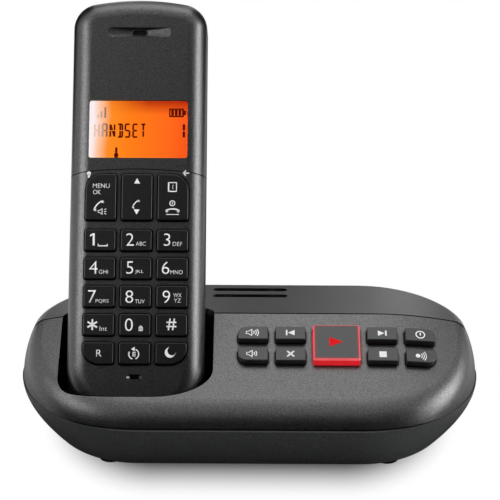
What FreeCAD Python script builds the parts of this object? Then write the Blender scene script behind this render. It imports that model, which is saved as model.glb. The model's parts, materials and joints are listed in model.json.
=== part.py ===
import FreeCAD, Part
import functools
import math
import os
import Sketcher
from FreeCAD import Matrix, Placement, Rotation, Vector

# A telephone answering machine: a low oval base with a sloping key panel, and a cordless
# handset that stands in the base's cradle and leans back.
#
# Three frames are used, all with +Z pointing out of the surface that faces the user:
#   world   +X right, +Y to the rear, +Z up, the feet on z = 0, the bounding box centred on x = y = 0
#   panel   origin on the crest of the base, +Y up the slope of the key panel
#   handset origin on the handset's face at the cradle's lip, +Y towards the earpiece

doc = FreeCAD.newDocument("AnsweringMachine")
sheet = doc.addObject("Spreadsheet::Sheet", "Sizes")

SIZES = {
    # base, overall; its width is the sum of what stands side by side on it
    "left_shoulder": 14.7,
    "cradle_to_keys": 14.0,
    "volume_to_skip": 13.4,
    "skip_to_play": 16.4,
    "play_to_next": 16.3,
    "next_to_power": 13.5,
    "right_shoulder": 21.7,
    "base_depth": 87.0,
    "foot_height": 1.0,
    "crest_height": 40.5,
    "panel_slope": 26.5,
    "rear_slope": 7.0,
    "crown_end_run": 37.5,
    "crown_radius": 150.0,
    "shell_wall": 2.0,
    # the seam around the base, and how the shell bulges and tapers about it
    "seam_front_height": 14.7,
    "seam_side_height": 17.6,
    "seam_gap": 0.4,
    "seam_gap_deep": 0.8,
    "shell_lip": 0.4,
    "bottom_side_inset": 10.4,
    "bottom_front_inset": 2.6,
    "wall_bulge_radius": 42.0,
    "wall_bulge_height": 16.0,
    "front_swell": 1.4,
    "front_round": 18.0,
    "side_round": 5.0,
    "rear_round": 6.0,
    # cradle
    "cradle_lip_run": 37.5,
    "cradle_half_width": 27.5,
    "cradle_corner_wide": 22.0,
    "cradle_corner_deep": 6.5,
    "cradle_front_bulge": 0.4,
    "cradle_rear_corner": 6.0,
    "cradle_front_gap": 0.6,
    "cradle_rear_gap": 0.8,
    "cradle_floor_height": 15.0,
    "cradle_wall": 1.4,
    # keys on the base
    "panel_key_width": 10.8,
    "panel_key_tall": 5.8,
    "panel_key_proud": 2.5,
    "panel_key_round": 0.7,
    "panel_key_big_round": 3.4,
    "panel_key_travel": 0.8,
    "panel_row_upper": 11.2,
    "panel_row_lower": 20.8,
    "play_row": 15.65,
    "play_key_width": 16.8,
    "play_key_tall": 16.1,
    "play_key_proud": 3.0,
    "play_key_chamfer": 0.6,
    "play_cap_width": 14.5,
    "play_cap_tall": 13.8,
    "play_cap_deep": 1.2,
    "panel_key_gap": 0.3,
    "key_flange": 0.7,
    "key_stop_gap": 0.1,
    "panel_flange_thick": 0.8,
    "panel_seat_gap": 0.2,
    "panel_post_upper_row": 4.0,
    "panel_post_lower_row": 28.5,
    "panel_mat_deep": 6.0,
    "mat_thick": 1.0,
    "board_thick": 1.2,
    # handset
    "handset_lean": 32.0,
    "handset_width": 48.6,
    "handset_thick": 24.0,
    "handset_top": 144.7,
    "handset_bottom": 12.0,
    "handset_wall": 2.2,
    "handset_split": 10.0,
    "handset_top_crown": 90.0,
    "handset_top_corner": 9.5,
    "handset_bottom_crown": 60.0,
    "handset_bottom_corner": 22.0,
    "handset_face_round": 7.0,
    "handset_back_round": 8.0,
    "rockers_to_seam": 2.25,
    "face_seam_radius": 155.0,
    "face_seam_gap": 0.3,
    # keys on the handset
    "hand_key_width": 10.9,
    "hand_key_tall": 7.7,
    "hand_key_pitch_x": 12.85,
    "hand_key_pitch_y": 10.08,
    "hand_key_bottom_row": 14.2,
    "hand_key_proud": 1.1,
    "hand_key_gap": 0.4,
    "hand_key_round": 0.8,
    "hand_key_big_round": 5.8,
    "hand_flange_thick": 0.6,
    "hand_seat_gap": 0.7,
    "rocker_tall": 16.7,
    "digits_to_rockers": 15.58,
    "hand_mat_deep": 4.1,
    "hand_mat_thick": 1.2,
    "hand_post_diameter": 4.0,
    "low_post_x": 10.0,
    "low_post_row": 3.5,
    "high_post_x": 13.0,
    "high_post_row": 114.0,
    # display, earpiece and microphone
    "window_width": 35.5,
    "window_tall": 21.2,
    "seam_to_window": 3.9,
    "window_corner": 1.0,
    "window_gap": 0.1,
    "window_recess": 0.3,
    "window_rim": 1.0,
    "window_rim_deep": 2.5,
    "window_rim_thick": 0.7,
    "earpiece_row": 131.2,
    "earpiece_slot_width": 22.8,
    "earpiece_slot_tall": 3.5,
    "earpiece_hole_width": 5.0,
    "earpiece_hole_tall": 1.8,
    "earpiece_diameter": 12.0,
    "earpiece_deep": 3.5,
    "mic_row": 6.0,
    "mic_slot_width": 3.2,
    "mic_slot_tall": 1.8,
    "mic_dish_width": 5.4,
    "mic_dish_deep": 0.8,
    "mic_diameter": 4.0,
    "mic_deep": 2.0,
    # battery bay of the handset
    "cell_diameter": 10.5,
    "cell_length": 44.5,
    "cell_gap": 0.2,
    "cell_button_diameter": 3.8,
    "cell_button_length": 0.8,
    "bay_row": 37.0,
    "bay_clearance": 0.6,
    "bay_wall": 1.2,
    "battery_cover_half": 16.0,
    "battery_cover_low": 11.5,
    "battery_cover_high": 66.0,
    "battery_cover_thick": 1.4,
    "battery_cover_travel": 4.0,
    "cover_gap": 0.15,
    "cover_corner": 1.5,
    "grip_start": 5.0,
    "grip_pitch": 2.5,
    "grip_width": 12.0,
    "grip_tall": 0.8,
    "grip_deep": 0.4,
    "contact_leaf": 0.4,
    "contact_leaf_width": 8.0,
    "contact_spring": 1.2,
    # boards, speakers and contacts of the handset
    "hand_board_width": 39.0,
    "hand_board_tall": 114.0,
    "hand_board_row": 62.5,
    "hand_mat_width": 38.0,
    "hand_mat_margin": 1.2,
    "ringer_diameter": 20.0,
    "ringer_deep": 4.0,
    "ringer_row": 98.0,
    "ringer_slot_width": 12.0,
    "ringer_slot_tall": 1.2,
    "ringer_slot_pitch": 3.0,
    "contact_pocket_width": 4.8,
    "contact_pocket_long": 5.2,
    "contact_pocket_deep": 1.3,
    "contact_plate_gap": 0.2,
    "contact_plate_thick": 0.3,
    # inside and under the base
    "main_board_width": 44.0,
    "main_board_front_gap": 14.5,
    "main_board_rear_gap": 20.5,
    "main_board_height": 8.0,
    "cradle_to_speaker": 12.8,
    "speaker_diameter": 20.0,
    "speaker_rear_gap": 17.7,
    "speaker_deep": 8.5,
    "speaker_flange_thick": 1.5,
    "speaker_magnet_diameter": 11.0,
    "speaker_magnet_tall": 3.2,
    "speaker_rim": 1.6,
    "cone_thick": 0.4,
    "speaker_slot_width": 28.0,
    "speaker_slot_tall": 3.8,
    "speaker_slot_pitch": 8.1,
    "foot_end_gap": 33.9,
    "foot_side_gap": 8.5,
    "foot_diameter": 8.0,
    "foot_pocket": 0.8,
    "screw_diameter": 3.0,
    "screw_head": 5.6,
    "boss_diameter": 8.0,
    "socket_width": 11.0,
    "socket_tall": 9.0,
    "socket_deep": 12.0,
    "socket_height": 9.5,
    "socket_inset": 5.5,
    "socket_back": 2.0,
    "line_port_width": 6.8,
    "line_port_tall": 6.2,
    "power_port_diameter": 6.4,
    "power_pin_diameter": 2.0,
    "socket_spacing": 16.0,
    "contact_diameter": 2.2,
    "contact_spacing": 16.0,
    "contact_stand": 0.9,
    "contact_depth": 14.0,
    "pin_clearance": 0.2,
    "pin_collar_thick": 1.0,
    "pin_tail": 2.5,
    "boss_top": 12.0,
    "left_screw_gap": 24.5,
    "right_screw_gap": 20.5,
    "rear_screw_gap": 23.5,
    "front_screw_gap": 9.5,
    "front_screw_left": 5.2,
    "front_screw_right": 3.0,
    "screw_seat": 4.0,
    "screw_length": 14.0,
    "screw_free_gap": 0.2,
    "screw_bite_gap": 0.05,
    "screw_head_gap": 0.3,
    "screw_head_thick": 2.0,
    "foot_gap": 0.2,
    "post_diameter": 5.0,
    "keypad_board_margin": 2.8,
    "keypad_board_tall": 30.5,
    "keypad_board_row": 16.25,
    "antenna_length": 18.0,
    "antenna_tall": 7.0,
    "antenna_thick": 0.6,
    "antenna_inset": 2.0,
}

for row, (alias, value) in enumerate(SIZES.items(), start=1):
    sheet.set(f"A{row}", alias)
    sheet.set(f"B{row}", str(value))
    sheet.setAlias(f"B{row}", alias)
doc.recompute()


def size(alias):
    """The value of one cell of the sheet, in millimetres or degrees."""
    return float(sheet.get(alias))


subparts = []
wall = size("shell_wall")
X_AXIS = Vector(1, 0, 0)
Z_AXIS = Vector(0, 0, 1)
FAR = 400.0
ROOF_START = 6.0  # each roof is drawn this far past the crest, then trimmed

# Where things stand along the base, from its left end to its right end. The middle of the base is x = 0.
base_width = (
    size("left_shoulder") + 2 * size("cradle_half_width") + size("cradle_to_keys") + size("volume_to_skip")
    + size("skip_to_play") + size("play_to_next") + size("next_to_power") + size("right_shoulder")
)
half_depth = size("base_depth") / 2
straight_half = base_width / 2 - half_depth
handset_x = size("left_shoulder") + size("cradle_half_width") - base_width / 2
cradle_right_x = handset_x + size("cradle_half_width")
volume_x = cradle_right_x + size("cradle_to_keys")
skip_x = volume_x + size("volume_to_skip")
play_x = skip_x + size("skip_to_play")
next_x = play_x + size("play_to_next")
power_x = next_x + size("next_to_power")
main_board_x = (volume_x + next_x) / 2
main_board_y = (size("main_board_front_gap") - size("main_board_rear_gap")) / 2
main_board_depth = size("base_depth") - size("main_board_front_gap") - size("main_board_rear_gap")
speaker_x = cradle_right_x + size("cradle_to_speaker")
speaker_y = half_depth - size("speaker_rear_gap")
foot_x = base_width / 2 - size("foot_end_gap")
foot_y = half_depth - size("foot_side_gap")
socket_x = {
    "power": main_board_x - size("socket_spacing") / 2,
    "line": main_board_x + size("socket_spacing") / 2,
}
crown_flat = base_width / 2 - size("crown_end_run")


def add_solid(label, shape, placement):
    """A sub-part whose shape is given in the frame that the placement describes."""
    feature = doc.addObject("Part::Feature", label)
    feature.Shape = shape
    feature.Label = label
    feature.Placement = placement.multiply(shape.Placement)
    subparts.append(feature)
    return feature


def box_between(low, high):
    """A box from its low corner to its high corner."""
    low, high = Vector(*low), Vector(*high)
    span = high - low
    return Part.makeBox(span.x, span.y, span.z, low)


def rounded_rectangle(width, tall, corners, height=0.0):
    """A face in XY, centred on the origin, with corners (top left, top right, bottom right, bottom left)."""
    half_w, half_t = width / 2, tall / 2
    signs = [(-1, 1), (1, 1), (1, -1), (-1, -1)]
    edges, ends = [], []
    for (sign_x, sign_y), radius in zip(signs, corners):
        centre = Vector(sign_x * (half_w - radius), sign_y * (half_t - radius), height)
        out_x = centre + Vector(sign_x * radius, 0, 0)
        out_y = centre + Vector(0, sign_y * radius, 0)
        middle = centre + Vector(sign_x, sign_y, 0).normalize() * radius
        start, finish = (out_x, out_y) if sign_x == -sign_y else (out_y, out_x)
        edges.append(Part.Arc(start, middle, finish).toShape())
        ends.append((start, finish))
    for index in range(4):
        edges.append(Part.LineSegment(ends[index][1], ends[(index + 1) % 4][0]).toShape())
    return Part.Face(Part.Wire(Part.__sortEdges__(edges)))


def key_prism(width, tall, corners, low, high):
    """A block with rounded upright corners between two heights."""
    face = rounded_rectangle(width, tall, corners, low)
    return face.extrude(Vector(0, 0, high - low))


# ---------------------------------------------------------------- outer form of the base

def oval_wire(semi_x, semi_y, height):
    """Two straight sides joined by half ellipses about fixed centres."""
    edges = []
    for side in (1, -1):
        arc = Part.Arc(Vector(0, -side, 0), Vector(side, 0, 0), Vector(0, side, 0)).toShape()
        grow = Matrix()
        grow.scale(Vector(semi_x, semi_y, 1))
        arc = arc.transformGeometry(grow)
        arc.translate(Vector(side * straight_half, 0, height))
        edges.append(arc)
        line = Part.LineSegment(
            Vector(side * straight_half, side * semi_y, height),
            Vector(-side * straight_half, side * semi_y, height),
        )
        edges.append(line.toShape())
    return Part.Wire(Part.__sortEdges__(edges))


def lower_form(inset, floor):
    """The tapered tub below the seam, up to the height of the seam at the sides and a little over."""
    end_radius = half_depth + size("shell_lip")
    rim = size("seam_side_height")
    foot = size("foot_height")
    wires = []
    for share in (0.0, 0.35, 0.7, 1.0):
        height = foot + share * (rim - foot)
        fall = (1 - share) ** 2
        semi_x = end_radius - inset - size("bottom_side_inset") * fall
        semi_y = end_radius - inset - size("bottom_front_inset") * fall
        wires.append(oval_wire(semi_x, semi_y, height))
    tub = Part.makeLoft(wires, True, False)
    return tub.common(box_between((-FAR, -FAR, foot + floor), (FAR, FAR, rim)))


def wall_form(inset, swell):
    """The side wall above the seam, upright up to its middle height and leaning in above it."""
    end_radius = half_depth
    bulge = size("wall_bulge_radius")
    middle = size("wall_bulge_height")
    wires = []
    for step in (-16.0, -4.0, 4.0, 12.0, 20.0, 26.0, 32.0):
        back = bulge - math.sqrt(bulge**2 - max(step, 0.0) ** 2) + inset
        wires.append(oval_wire(end_radius - back, end_radius + swell - back, middle + step))
    return Part.makeLoft(wires, True, False)


def roof_form(slope, toward, inset):
    """All that lies under one slope of the roof: the crown curve drawn in an upright plane just
    past the crest and pushed down the slope."""
    flat = crown_flat
    radius = size("crown_radius") - inset
    reach = base_width / 2 + wall
    start = -toward * ROOF_START
    tangent = math.tan(math.radians(slope))
    top = size("crest_height") - inset / math.cos(math.radians(slope)) + ROOF_START * tangent
    edges = [Part.LineSegment(Vector(-flat, start, top), Vector(flat, start, top)).toShape()]
    ends = []
    for side in (-1, 1):
        points = []
        for share in (0.0, 0.5, 1.0):
            run = share * (reach - flat)
            drop = radius - math.sqrt(radius**2 - run**2)
            points.append(Vector(side * (flat + run), start, top - drop))
        edges.append(Part.Arc(*points).toShape())
        ends.append(points[-1])
    deep = top + FAR / 4
    corners = [ends[0], ends[0] - Z_AXIS * deep, ends[1] - Z_AXIS * deep, ends[1]]
    for first, second in zip(corners, corners[1:]):
        edges.append(Part.LineSegment(first, second).toShape())
    face = Part.Face(Part.Wire(Part.__sortEdges__(edges)))
    return face.extrude(Vector(0, toward, -tangent) * (half_depth + 2 * ROOF_START))


def round_rim(form, toward, radius_middle, radius_end):
    """Rounds the edge between a roof and the wall, with a radius that changes around the ends."""
    blank = doc.addObject("Part::Feature", "RimBlank")
    blank.Shape = form
    rim = doc.addObject("Part::Fillet", "RimRound")
    rim.Base = blank

    def radius_at(point):
        run = max(0.0, abs(point.x) - straight_half)
        share = min(1.0, math.atan2(run, max(1e-6, toward * point.y)) / (math.pi / 2))
        return radius_middle + (radius_end - radius_middle) * share

    picks = []
    for index, edge in enumerate(form.Edges, start=1):
        box = edge.BoundBox
        middle = edge.valueAt((edge.FirstParameter + edge.LastParameter) / 2)
        near_floor = middle.z < size("seam_front_height")
        on_end_plane = box.YLength < 1e-3 and abs(middle.y + toward * ROOF_START) < 1e-2
        down_slope = box.XLength < 0.5 and box.YLength > half_depth / 2
        upright = box.XLength + box.YLength < box.ZLength
        if near_floor or on_end_plane or down_slope or upright:
            continue
        ends = (edge.valueAt(edge.FirstParameter), edge.valueAt(edge.LastParameter))
        picks.append((index, radius_at(ends[0]), radius_at(ends[1])))
    rim.Edges = picks
    doc.recompute()
    shape = rim.Shape.copy()
    doc.removeObject(rim.Name)
    doc.removeObject(blank.Name)
    return shape


@functools.lru_cache(maxsize=None)
def front_form(inset):
    """The rounded body under the key panel, from the front to just behind the crest."""
    form = wall_form(inset, size("front_swell")).common(roof_form(size("panel_slope"), -1, inset))
    return round_rim(form, -1, size("front_round") - inset, size("side_round") - inset)


@functools.lru_cache(maxsize=None)
def rear_form(inset):
    """The rounded body behind the crest."""
    form = wall_form(inset, 0.0).common(roof_form(size("rear_slope"), 1, inset))
    return round_rim(form, 1, size("rear_round") - inset, size("side_round") - inset)


def trimmed(shape, low, high):
    """What lies inside an upright box."""
    return shape.common(box_between(low, high))


def above_seam(lift):
    """All space above the seam: a plane that climbs from the front to the sides, then a level one."""
    rise = (size("seam_side_height") - size("seam_front_height")) / half_depth
    reach = base_width
    points = [
        Vector(-reach, -reach, size("seam_side_height") + lift - rise * reach),
        Vector(-reach, 0, size("seam_side_height") + lift),
        Vector(-reach, reach, size("seam_side_height") + lift),
        Vector(-reach, reach, reach),
        Vector(-reach, -reach, reach),
    ]
    face = Part.Face(Part.makePolygon(points + points[:1]))
    return face.extrude(X_AXIS * (2 * reach))


# ---------------------------------------------------------------- frames

panel_frame = Placement(Vector(0, 0, size("crest_height")), Rotation(X_AXIS, size("panel_slope")))
lip_point = panel_frame.multVec(Vector(handset_x, -size("cradle_lip_run"), 0))
handset_frame = Placement(
    lip_point + Vector(0, size("cradle_front_gap"), 0),
    Rotation(X_AXIS, 90 - size("handset_lean")),
)


def placed(shape, placement):
    """A copy of a shape, moved from its own frame to the frame that holds it."""
    copy = shape.copy()
    copy.Placement = placement.multiply(copy.Placement)
    return copy


def crown_at(x):
    """How far the key panel has fallen away at x, square to the panel, and how much it leans there."""
    run = max(0.0, abs(x) - crown_flat)
    lean = math.asin(run / size("crown_radius"))
    drop = size("crown_radius") * (1 - math.cos(lean))
    slope = math.radians(size("panel_slope"))
    return drop * math.cos(slope), math.degrees(math.atan(math.tan(lean) * math.cos(slope)))


def panel_place(x, row):
    """The frame of something on the key panel at a column and a distance down the slope."""
    drop, lean = crown_at(x)
    turn = Rotation(Vector(0, 1, 0), math.copysign(lean, x))
    return panel_frame.multiply(Placement(Vector(x, -row, -drop), turn))


# ---------------------------------------------------------------- handset form

def rounded_end(half_width, tip, crown, corner, upward):
    """The arcs of one end of the handset's outline, and the two points where its sides begin."""
    direction = 1 if upward else -1
    crown_centre = Vector(0, tip - direction * crown, 0)
    rise = math.sqrt((crown - corner) ** 2 - (half_width - corner) ** 2)
    edges, sides = [], []
    shoulders = []
    for side in (1, -1):
        corner_centre = crown_centre + Vector(side * (half_width - corner), direction * rise, 0)
        outward = (corner_centre - crown_centre).normalize()
        shoulder = crown_centre + outward * crown
        side_point = corner_centre + Vector(side * corner, 0, 0)
        middle = corner_centre + (outward + Vector(side, 0, 0)).normalize() * corner
        edges.append(Part.Arc(side_point, middle, shoulder).toShape())
        sides.append(side_point)
        shoulders.append(shoulder)
    edges.append(Part.Arc(shoulders[0], Vector(0, tip, 0), shoulders[1]).toShape())
    return edges, sides


def handset_form(inset):
    """The handset's rounded body, with the flat foot that stands on the floor of the cradle."""
    half_width = size("handset_width") / 2 - inset
    top_edges, top_sides = rounded_end(
        half_width,
        size("handset_top") - inset,
        size("handset_top_crown") - inset,
        size("handset_top_corner") - inset,
        True,
    )
    low_edges, low_sides = rounded_end(
        half_width,
        -size("handset_bottom") + inset,
        size("handset_bottom_crown") - inset,
        size("handset_bottom_corner") - inset,
        False,
    )
    sides = [Part.LineSegment(a, b).toShape() for a, b in zip(low_sides, top_sides)]
    outline = Part.Wire(Part.__sortEdges__(top_edges + low_edges + sides))
    thick = size("handset_thick") - 2 * inset
    body = Part.Face(outline).extrude(Vector(0, 0, -thick))
    body.translate(Vector(0, 0, -inset))
    for level, radius in ((-inset, size("handset_face_round")), (-inset - thick, size("handset_back_round"))):
        flat_edges = [edge for edge in body.Edges if edge.BoundBox.ZLength < 1e-5]
        rim = [edge for edge in flat_edges if abs(edge.BoundBox.ZMin - level) < 1e-5]
        body = body.makeFillet(radius - inset, rim)
    below = box_between((-FAR, -FAR, -FAR), (FAR, FAR, size("cradle_floor_height") + inset))
    return body.cut(placed(below, handset_frame.inverse()))


def cradle_prism(grow):
    """The cradle's well, drawn square to the handset and run along it, in the handset's frame."""
    half = size("cradle_half_width") + grow
    front = size("cradle_front_gap") + size("cradle_front_bulge") + grow
    rear = -(size("handset_thick") + size("cradle_rear_gap") + grow)
    wide = size("cradle_corner_wide") + grow
    deep = size("cradle_corner_deep") + grow
    corner = size("cradle_rear_corner") + grow
    low, run = -40.0, 160.0
    edges = []
    for side in (1, -1):
        arc = Part.Arc(Vector(side, 0, 0), Vector(side, 0, 1).normalize(), Vector(0, 0, 1)).toShape()
        grow_arc = Matrix()
        grow_arc.scale(Vector(wide, 1, deep))
        arc = arc.transformGeometry(grow_arc)
        arc.translate(Vector(side * (half - wide), low, front - deep))
        edges.append(arc)
        side_high = Vector(side * half, low, front - deep)
        side_low = Vector(side * half, low, rear + corner)
        edges.append(Part.LineSegment(side_high, side_low).toShape())
        centre = Vector(side * (half - corner), low, rear + corner)
        middle = centre + Vector(side, 0, -1).normalize() * corner
        edges.append(Part.Arc(side_low, middle, centre - Z_AXIS * corner).toShape())
    edges.append(Part.LineSegment(Vector(wide - half, low, front), Vector(half - wide, low, front)).toShape())
    low_ends = Vector(corner - half, low, rear), Vector(half - corner, low, rear)
    edges.append(Part.LineSegment(*low_ends).toShape())
    return Part.Face(Part.Wire(Part.__sortEdges__(edges))).extrude(Vector(0, run, 0))


handset_wall = size("handset_wall")

handset_outer = handset_form(0.0)
handset_inner = handset_form(handset_wall)

# The world origin lies under the middle of the whole machine, so everything moves by this much.
front_y = lower_form(0.0, 0.0).optimalBoundingBox().YMin
rear_y = placed(handset_outer, handset_frame).optimalBoundingBox().YMax
ground = Placement(Vector(0, -(front_y + rear_y) / 2, 0), Rotation())

rear_screws = [
    (size("left_screw_gap") - base_width / 2, half_depth - size("rear_screw_gap")),
    (base_width / 2 - size("right_screw_gap"), half_depth - size("rear_screw_gap")),
]
front_screws = [
    (play_x + size("front_screw_right"), size("front_screw_gap") - half_depth),
    (volume_x - size("front_screw_left"), size("front_screw_gap") - half_depth),
]
BIG_CORNER = {"tl": 0, "tr": 1, "br": 2, "bl": 3}


# ---------------------------------------------------------------- helpers for simple sub-parts

def origin_plane(body, role):
    """One of a body's own origin planes."""
    return next(item for item in body.Origin.OriginFeatures if item.Role == role)


def rectangle_pad(body, name, width, tall, low, length):
    """A rectangular pad centred on the body's Z axis; all four sizes are expressions on the sheet."""
    sketch = body.newObject("Sketcher::SketchObject", name + "Sketch")
    sketch.AttachmentSupport = (origin_plane(body, "XY_Plane"), "")
    sketch.MapMode = "FlatFace"
    sketch.setExpression("AttachmentOffset.Base.z", low)
    corners = [Vector(-1, -1, 0), Vector(1, -1, 0), Vector(1, 1, 0), Vector(-1, 1, 0)]
    for start, finish in zip(corners, corners[1:] + corners[:1]):
        sketch.addGeometry(Part.LineSegment(start, finish), False)
    for index in range(4):
        sketch.addConstraint(Sketcher.Constraint("Coincident", index, 2, (index + 1) % 4, 1))
    for index, kind in enumerate(("Horizontal", "Vertical", "Horizontal", "Vertical")):
        sketch.addConstraint(Sketcher.Constraint(kind, index))
    sketch.addConstraint(Sketcher.Constraint("Symmetric", 0, 1, 1, 2, -1, 1))
    across = sketch.addConstraint(Sketcher.Constraint("DistanceX", 0, 1, 0, 2, 2.0))
    sketch.setExpression(f"Constraints[{across}]", width)
    upward = sketch.addConstraint(Sketcher.Constraint("DistanceY", 1, 1, 1, 2, 2.0))
    sketch.setExpression(f"Constraints[{upward}]", tall)
    pad = body.newObject("PartDesign::Pad", name)
    pad.Profile = sketch
    pad.setExpression("Length", length)
    return pad


def round_edges(body, name, base, edges, radius):
    """A PartDesign fillet on chosen edges, its radius an expression on the sheet."""
    doc.recompute()
    chosen = [f"Edge{index}" for index, edge in enumerate(base.Shape.Edges, start=1) if edges(edge)]
    fillet = body.newObject("PartDesign::Fillet", name)
    fillet.Base = (base, chosen)
    fillet.setExpression("Radius", radius)
    return fillet


def is_upright(edge):
    """Whether an edge runs straight along Z."""
    box = edge.BoundBox
    return box.XLength < 1e-6 and box.YLength < 1e-6


def is_level_at_top(edge, shape):
    """Whether an edge lies on the top face of a shape."""
    box = edge.BoundBox
    return box.ZLength < 1e-6 and abs(box.ZMax - shape.BoundBox.ZMax) < 1e-6


def plate_body(label, width, tall, thick, placement):
    """A flat board or mat: one pad that hangs below its own frame."""
    body = doc.addObject("PartDesign::Body", label)
    body.Label = label
    rectangle_pad(body, label + "Plate", width, tall, f"-({thick})", thick)
    body.Placement = placement
    subparts.append(body)
    return body


def key_body(label, kind, width, tall, proud, wall_name, big_corner, stem, placement):
    """A key: a cap with rounded corners through the cover, a flange under the cover, and a stem."""
    body = doc.addObject("PartDesign::Body", label)
    body.Label = label
    thick = f"Sizes.{kind}_flange_thick"
    seat = f"(Sizes.{wall_name} + Sizes.{kind}_seat_gap + {thick})"
    cap = rectangle_pad(body, label + "Cap", width, tall, f"-{seat}", f"{proud} + {seat}")
    doc.recompute()
    half_w = cap.Shape.BoundBox.XMax

    def is_big(edge):
        sign_x = -1 if big_corner in ("tl", "bl") else 1
        sign_y = 1 if big_corner in ("tl", "tr") else -1
        box = edge.BoundBox
        return is_upright(edge) and box.XMin * sign_x > half_w / 2 and box.YMin * sign_y > 0

    def is_small(edge):
        return is_upright(edge) and not (big_corner and is_big(edge))

    last = round_edges(body, label + "Corners", cap, is_small, f"Sizes.{kind}_key_round")
    if big_corner:
        last = round_edges(
            body, label + "BigCorner", last,
            lambda edge: is_upright(edge) and is_big(edge) and abs(edge.BoundBox.XMin) > half_w - 0.01
            and abs(edge.BoundBox.YMin) > cap.Shape.BoundBox.YMax - 0.01,
            f"Sizes.{kind}_key_big_round",
        )
    doc.recompute()
    top_shape = last.Shape
    round_edges(
        body, label + "TopRound", last,
        lambda edge: is_level_at_top(edge, top_shape),
        f"Sizes.{kind}_key_round / 2",
    )
    flange = "2 * Sizes.key_flange"
    rectangle_pad(body, label + "Flange", f"{width} + {flange}", f"{tall} + {flange}", f"-{seat}", thick)
    if stem > 0:
        length = f"{stem} + {thick} / 2"
        rectangle_pad(body, label + "Stem", f"{width} / 2", f"{tall} / 2", f"-{seat} - {stem}", length)
    body.Placement = placement
    subparts.append(body)
    return body


def cylinder_at(diameter, low, high, place):
    """A cylinder along Z between two heights, in world or local terms, at an (x, y) place."""
    return Part.makeCylinder(diameter / 2, high - low, Vector(place[0], place[1], low))


# ---------------------------------------------------------------- key tables

# label, x, row, and the corner that is rounder than the others, as top or bottom, left or right
panel_keys = [
    ("volume_up_key", volume_x, "panel_row_upper", "tl"),
    ("volume_down_key", volume_x, "panel_row_lower", "bl"),
    ("previous_key", skip_x, "panel_row_upper", ""),
    ("delete_key", skip_x, "panel_row_lower", ""),
    ("next_key", next_x, "panel_row_upper", ""),
    ("stop_key", next_x, "panel_row_lower", ""),
    ("power_key", power_x, "panel_row_upper", "tr"),
    ("locate_key", power_x, "panel_row_lower", "br"),
]
play_row = size("play_row")

# from the bottom row up, each from left to right
handset_key_rows = [
    ("recall_key", "redial_key", "mute_key"),
    ("star_key", "digit_0_key", "hash_key"),
    ("digit_7_key", "digit_8_key", "digit_9_key"),
    ("digit_4_key", "digit_5_key", "digit_6_key"),
    ("digit_1_key", "digit_2_key", "digit_3_key"),
]
top_digit_row = size("hand_key_bottom_row") + (len(handset_key_rows) - 1) * size("hand_key_pitch_y")
rocker_row = top_digit_row + size("digits_to_rockers")
face_seam = rocker_row + size("rocker_tall") / 2 + size("rockers_to_seam")
window_row = face_seam + size("seam_to_window") + size("window_tall") / 2
rocker_keys = [("menu_talk_key", "tl"), ("up_down_key", ""), ("book_end_key", "tr")]


def key_corners(kind, big_corner, grow):
    """The four corner radii of a key's outline or, with a gap added, of its hole."""
    radii = [size(f"{kind}_key_round") + grow] * 4
    if big_corner:
        radii[BIG_CORNER[big_corner]] = size(f"{kind}_key_big_round") + grow
    return radii


# ---------------------------------------------------------------- base shells

floor_height = size("cradle_floor_height")
cradle_void = trimmed(placed(cradle_prism(0.0), handset_frame), (-FAR, -FAR, floor_height), (FAR, FAR, FAR))

front_outer = front_form(0.0)
front_inner = front_form(wall)
rear_outer = rear_form(0.0)
rear_inner = rear_form(wall)


def screw_post(place, form):
    """A post under a cover, from the screw boss up into the cover's wall."""
    post = cylinder_at(size("post_diameter") + 1.0, size("boss_top"), FAR / 4, place)
    return post.common(form)


def screw_bore(place):
    """The hole in a post that a screw bites into, a little deeper than its tip."""
    tip = size("foot_height") + size("screw_seat") + size("screw_length")
    bore = size("screw_diameter") + 2 * size("screw_bite_gap")
    return cylinder_at(bore, 0, tip + size("screw_free_gap"), place)


def build_lower_shell():
    """The tapered tub, with its screw bosses, board posts, foot pockets and the pads behind the sockets."""
    foot = size("foot_height")
    shell = lower_form(0.0, 0.0).cut(lower_form(wall, wall)).cut(above_seam(0.0))
    solids, holes = [], []
    for place in rear_screws + front_screws:
        solids.append(cylinder_at(size("boss_diameter"), foot + wall / 2, size("boss_top"), place))
        holes.append(cylinder_at(size("screw_diameter") + 2 * size("screw_free_gap"), 0, FAR / 4, place))
        holes.append(
            cylinder_at(size("screw_head") + 2 * size("screw_head_gap"), 0, foot + size("screw_seat"), place)
        )
    for side_x in (-1, 1):
        for side_y in (-1, 1):
            board_corner = (
                main_board_x + side_x * (size("main_board_width") - size("post_diameter")) / 2,
                main_board_y + side_y * (main_board_depth - size("post_diameter")) / 2,
            )
            solids.append(
                cylinder_at(size("post_diameter"), foot + wall / 2, size("main_board_height"), board_corner)
            )
            foot_place = (side_x * foot_x, side_y * foot_y)
            pocket_width = size("foot_diameter") + 2 * size("foot_gap")
            holes.append(cylinder_at(pocket_width, 0, foot + size("foot_pocket"), foot_place))
    inside = lower_form(wall / 2, wall / 2).cut(above_seam(0.0))
    for x in socket_x.values():
        half = size("socket_width") / 2 + wall / 2
        tall = size("socket_tall") / 2 + wall / 2
        middle = size("socket_height")
        pad = box_between((x - half, socket_face, middle - tall), (x + half, 2 * half_depth, middle + tall))
        solids.append(pad.common(inside))
    for kind in ("power", "line"):
        holes.append(socket_port(kind, socket_face - wall))
    for solid in solids:
        shell = shell.fuse(solid)
    for hole in holes:
        shell = shell.cut(hole)
    return shell.removeSplitter()


socket_face = half_depth - size("socket_inset")


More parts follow.
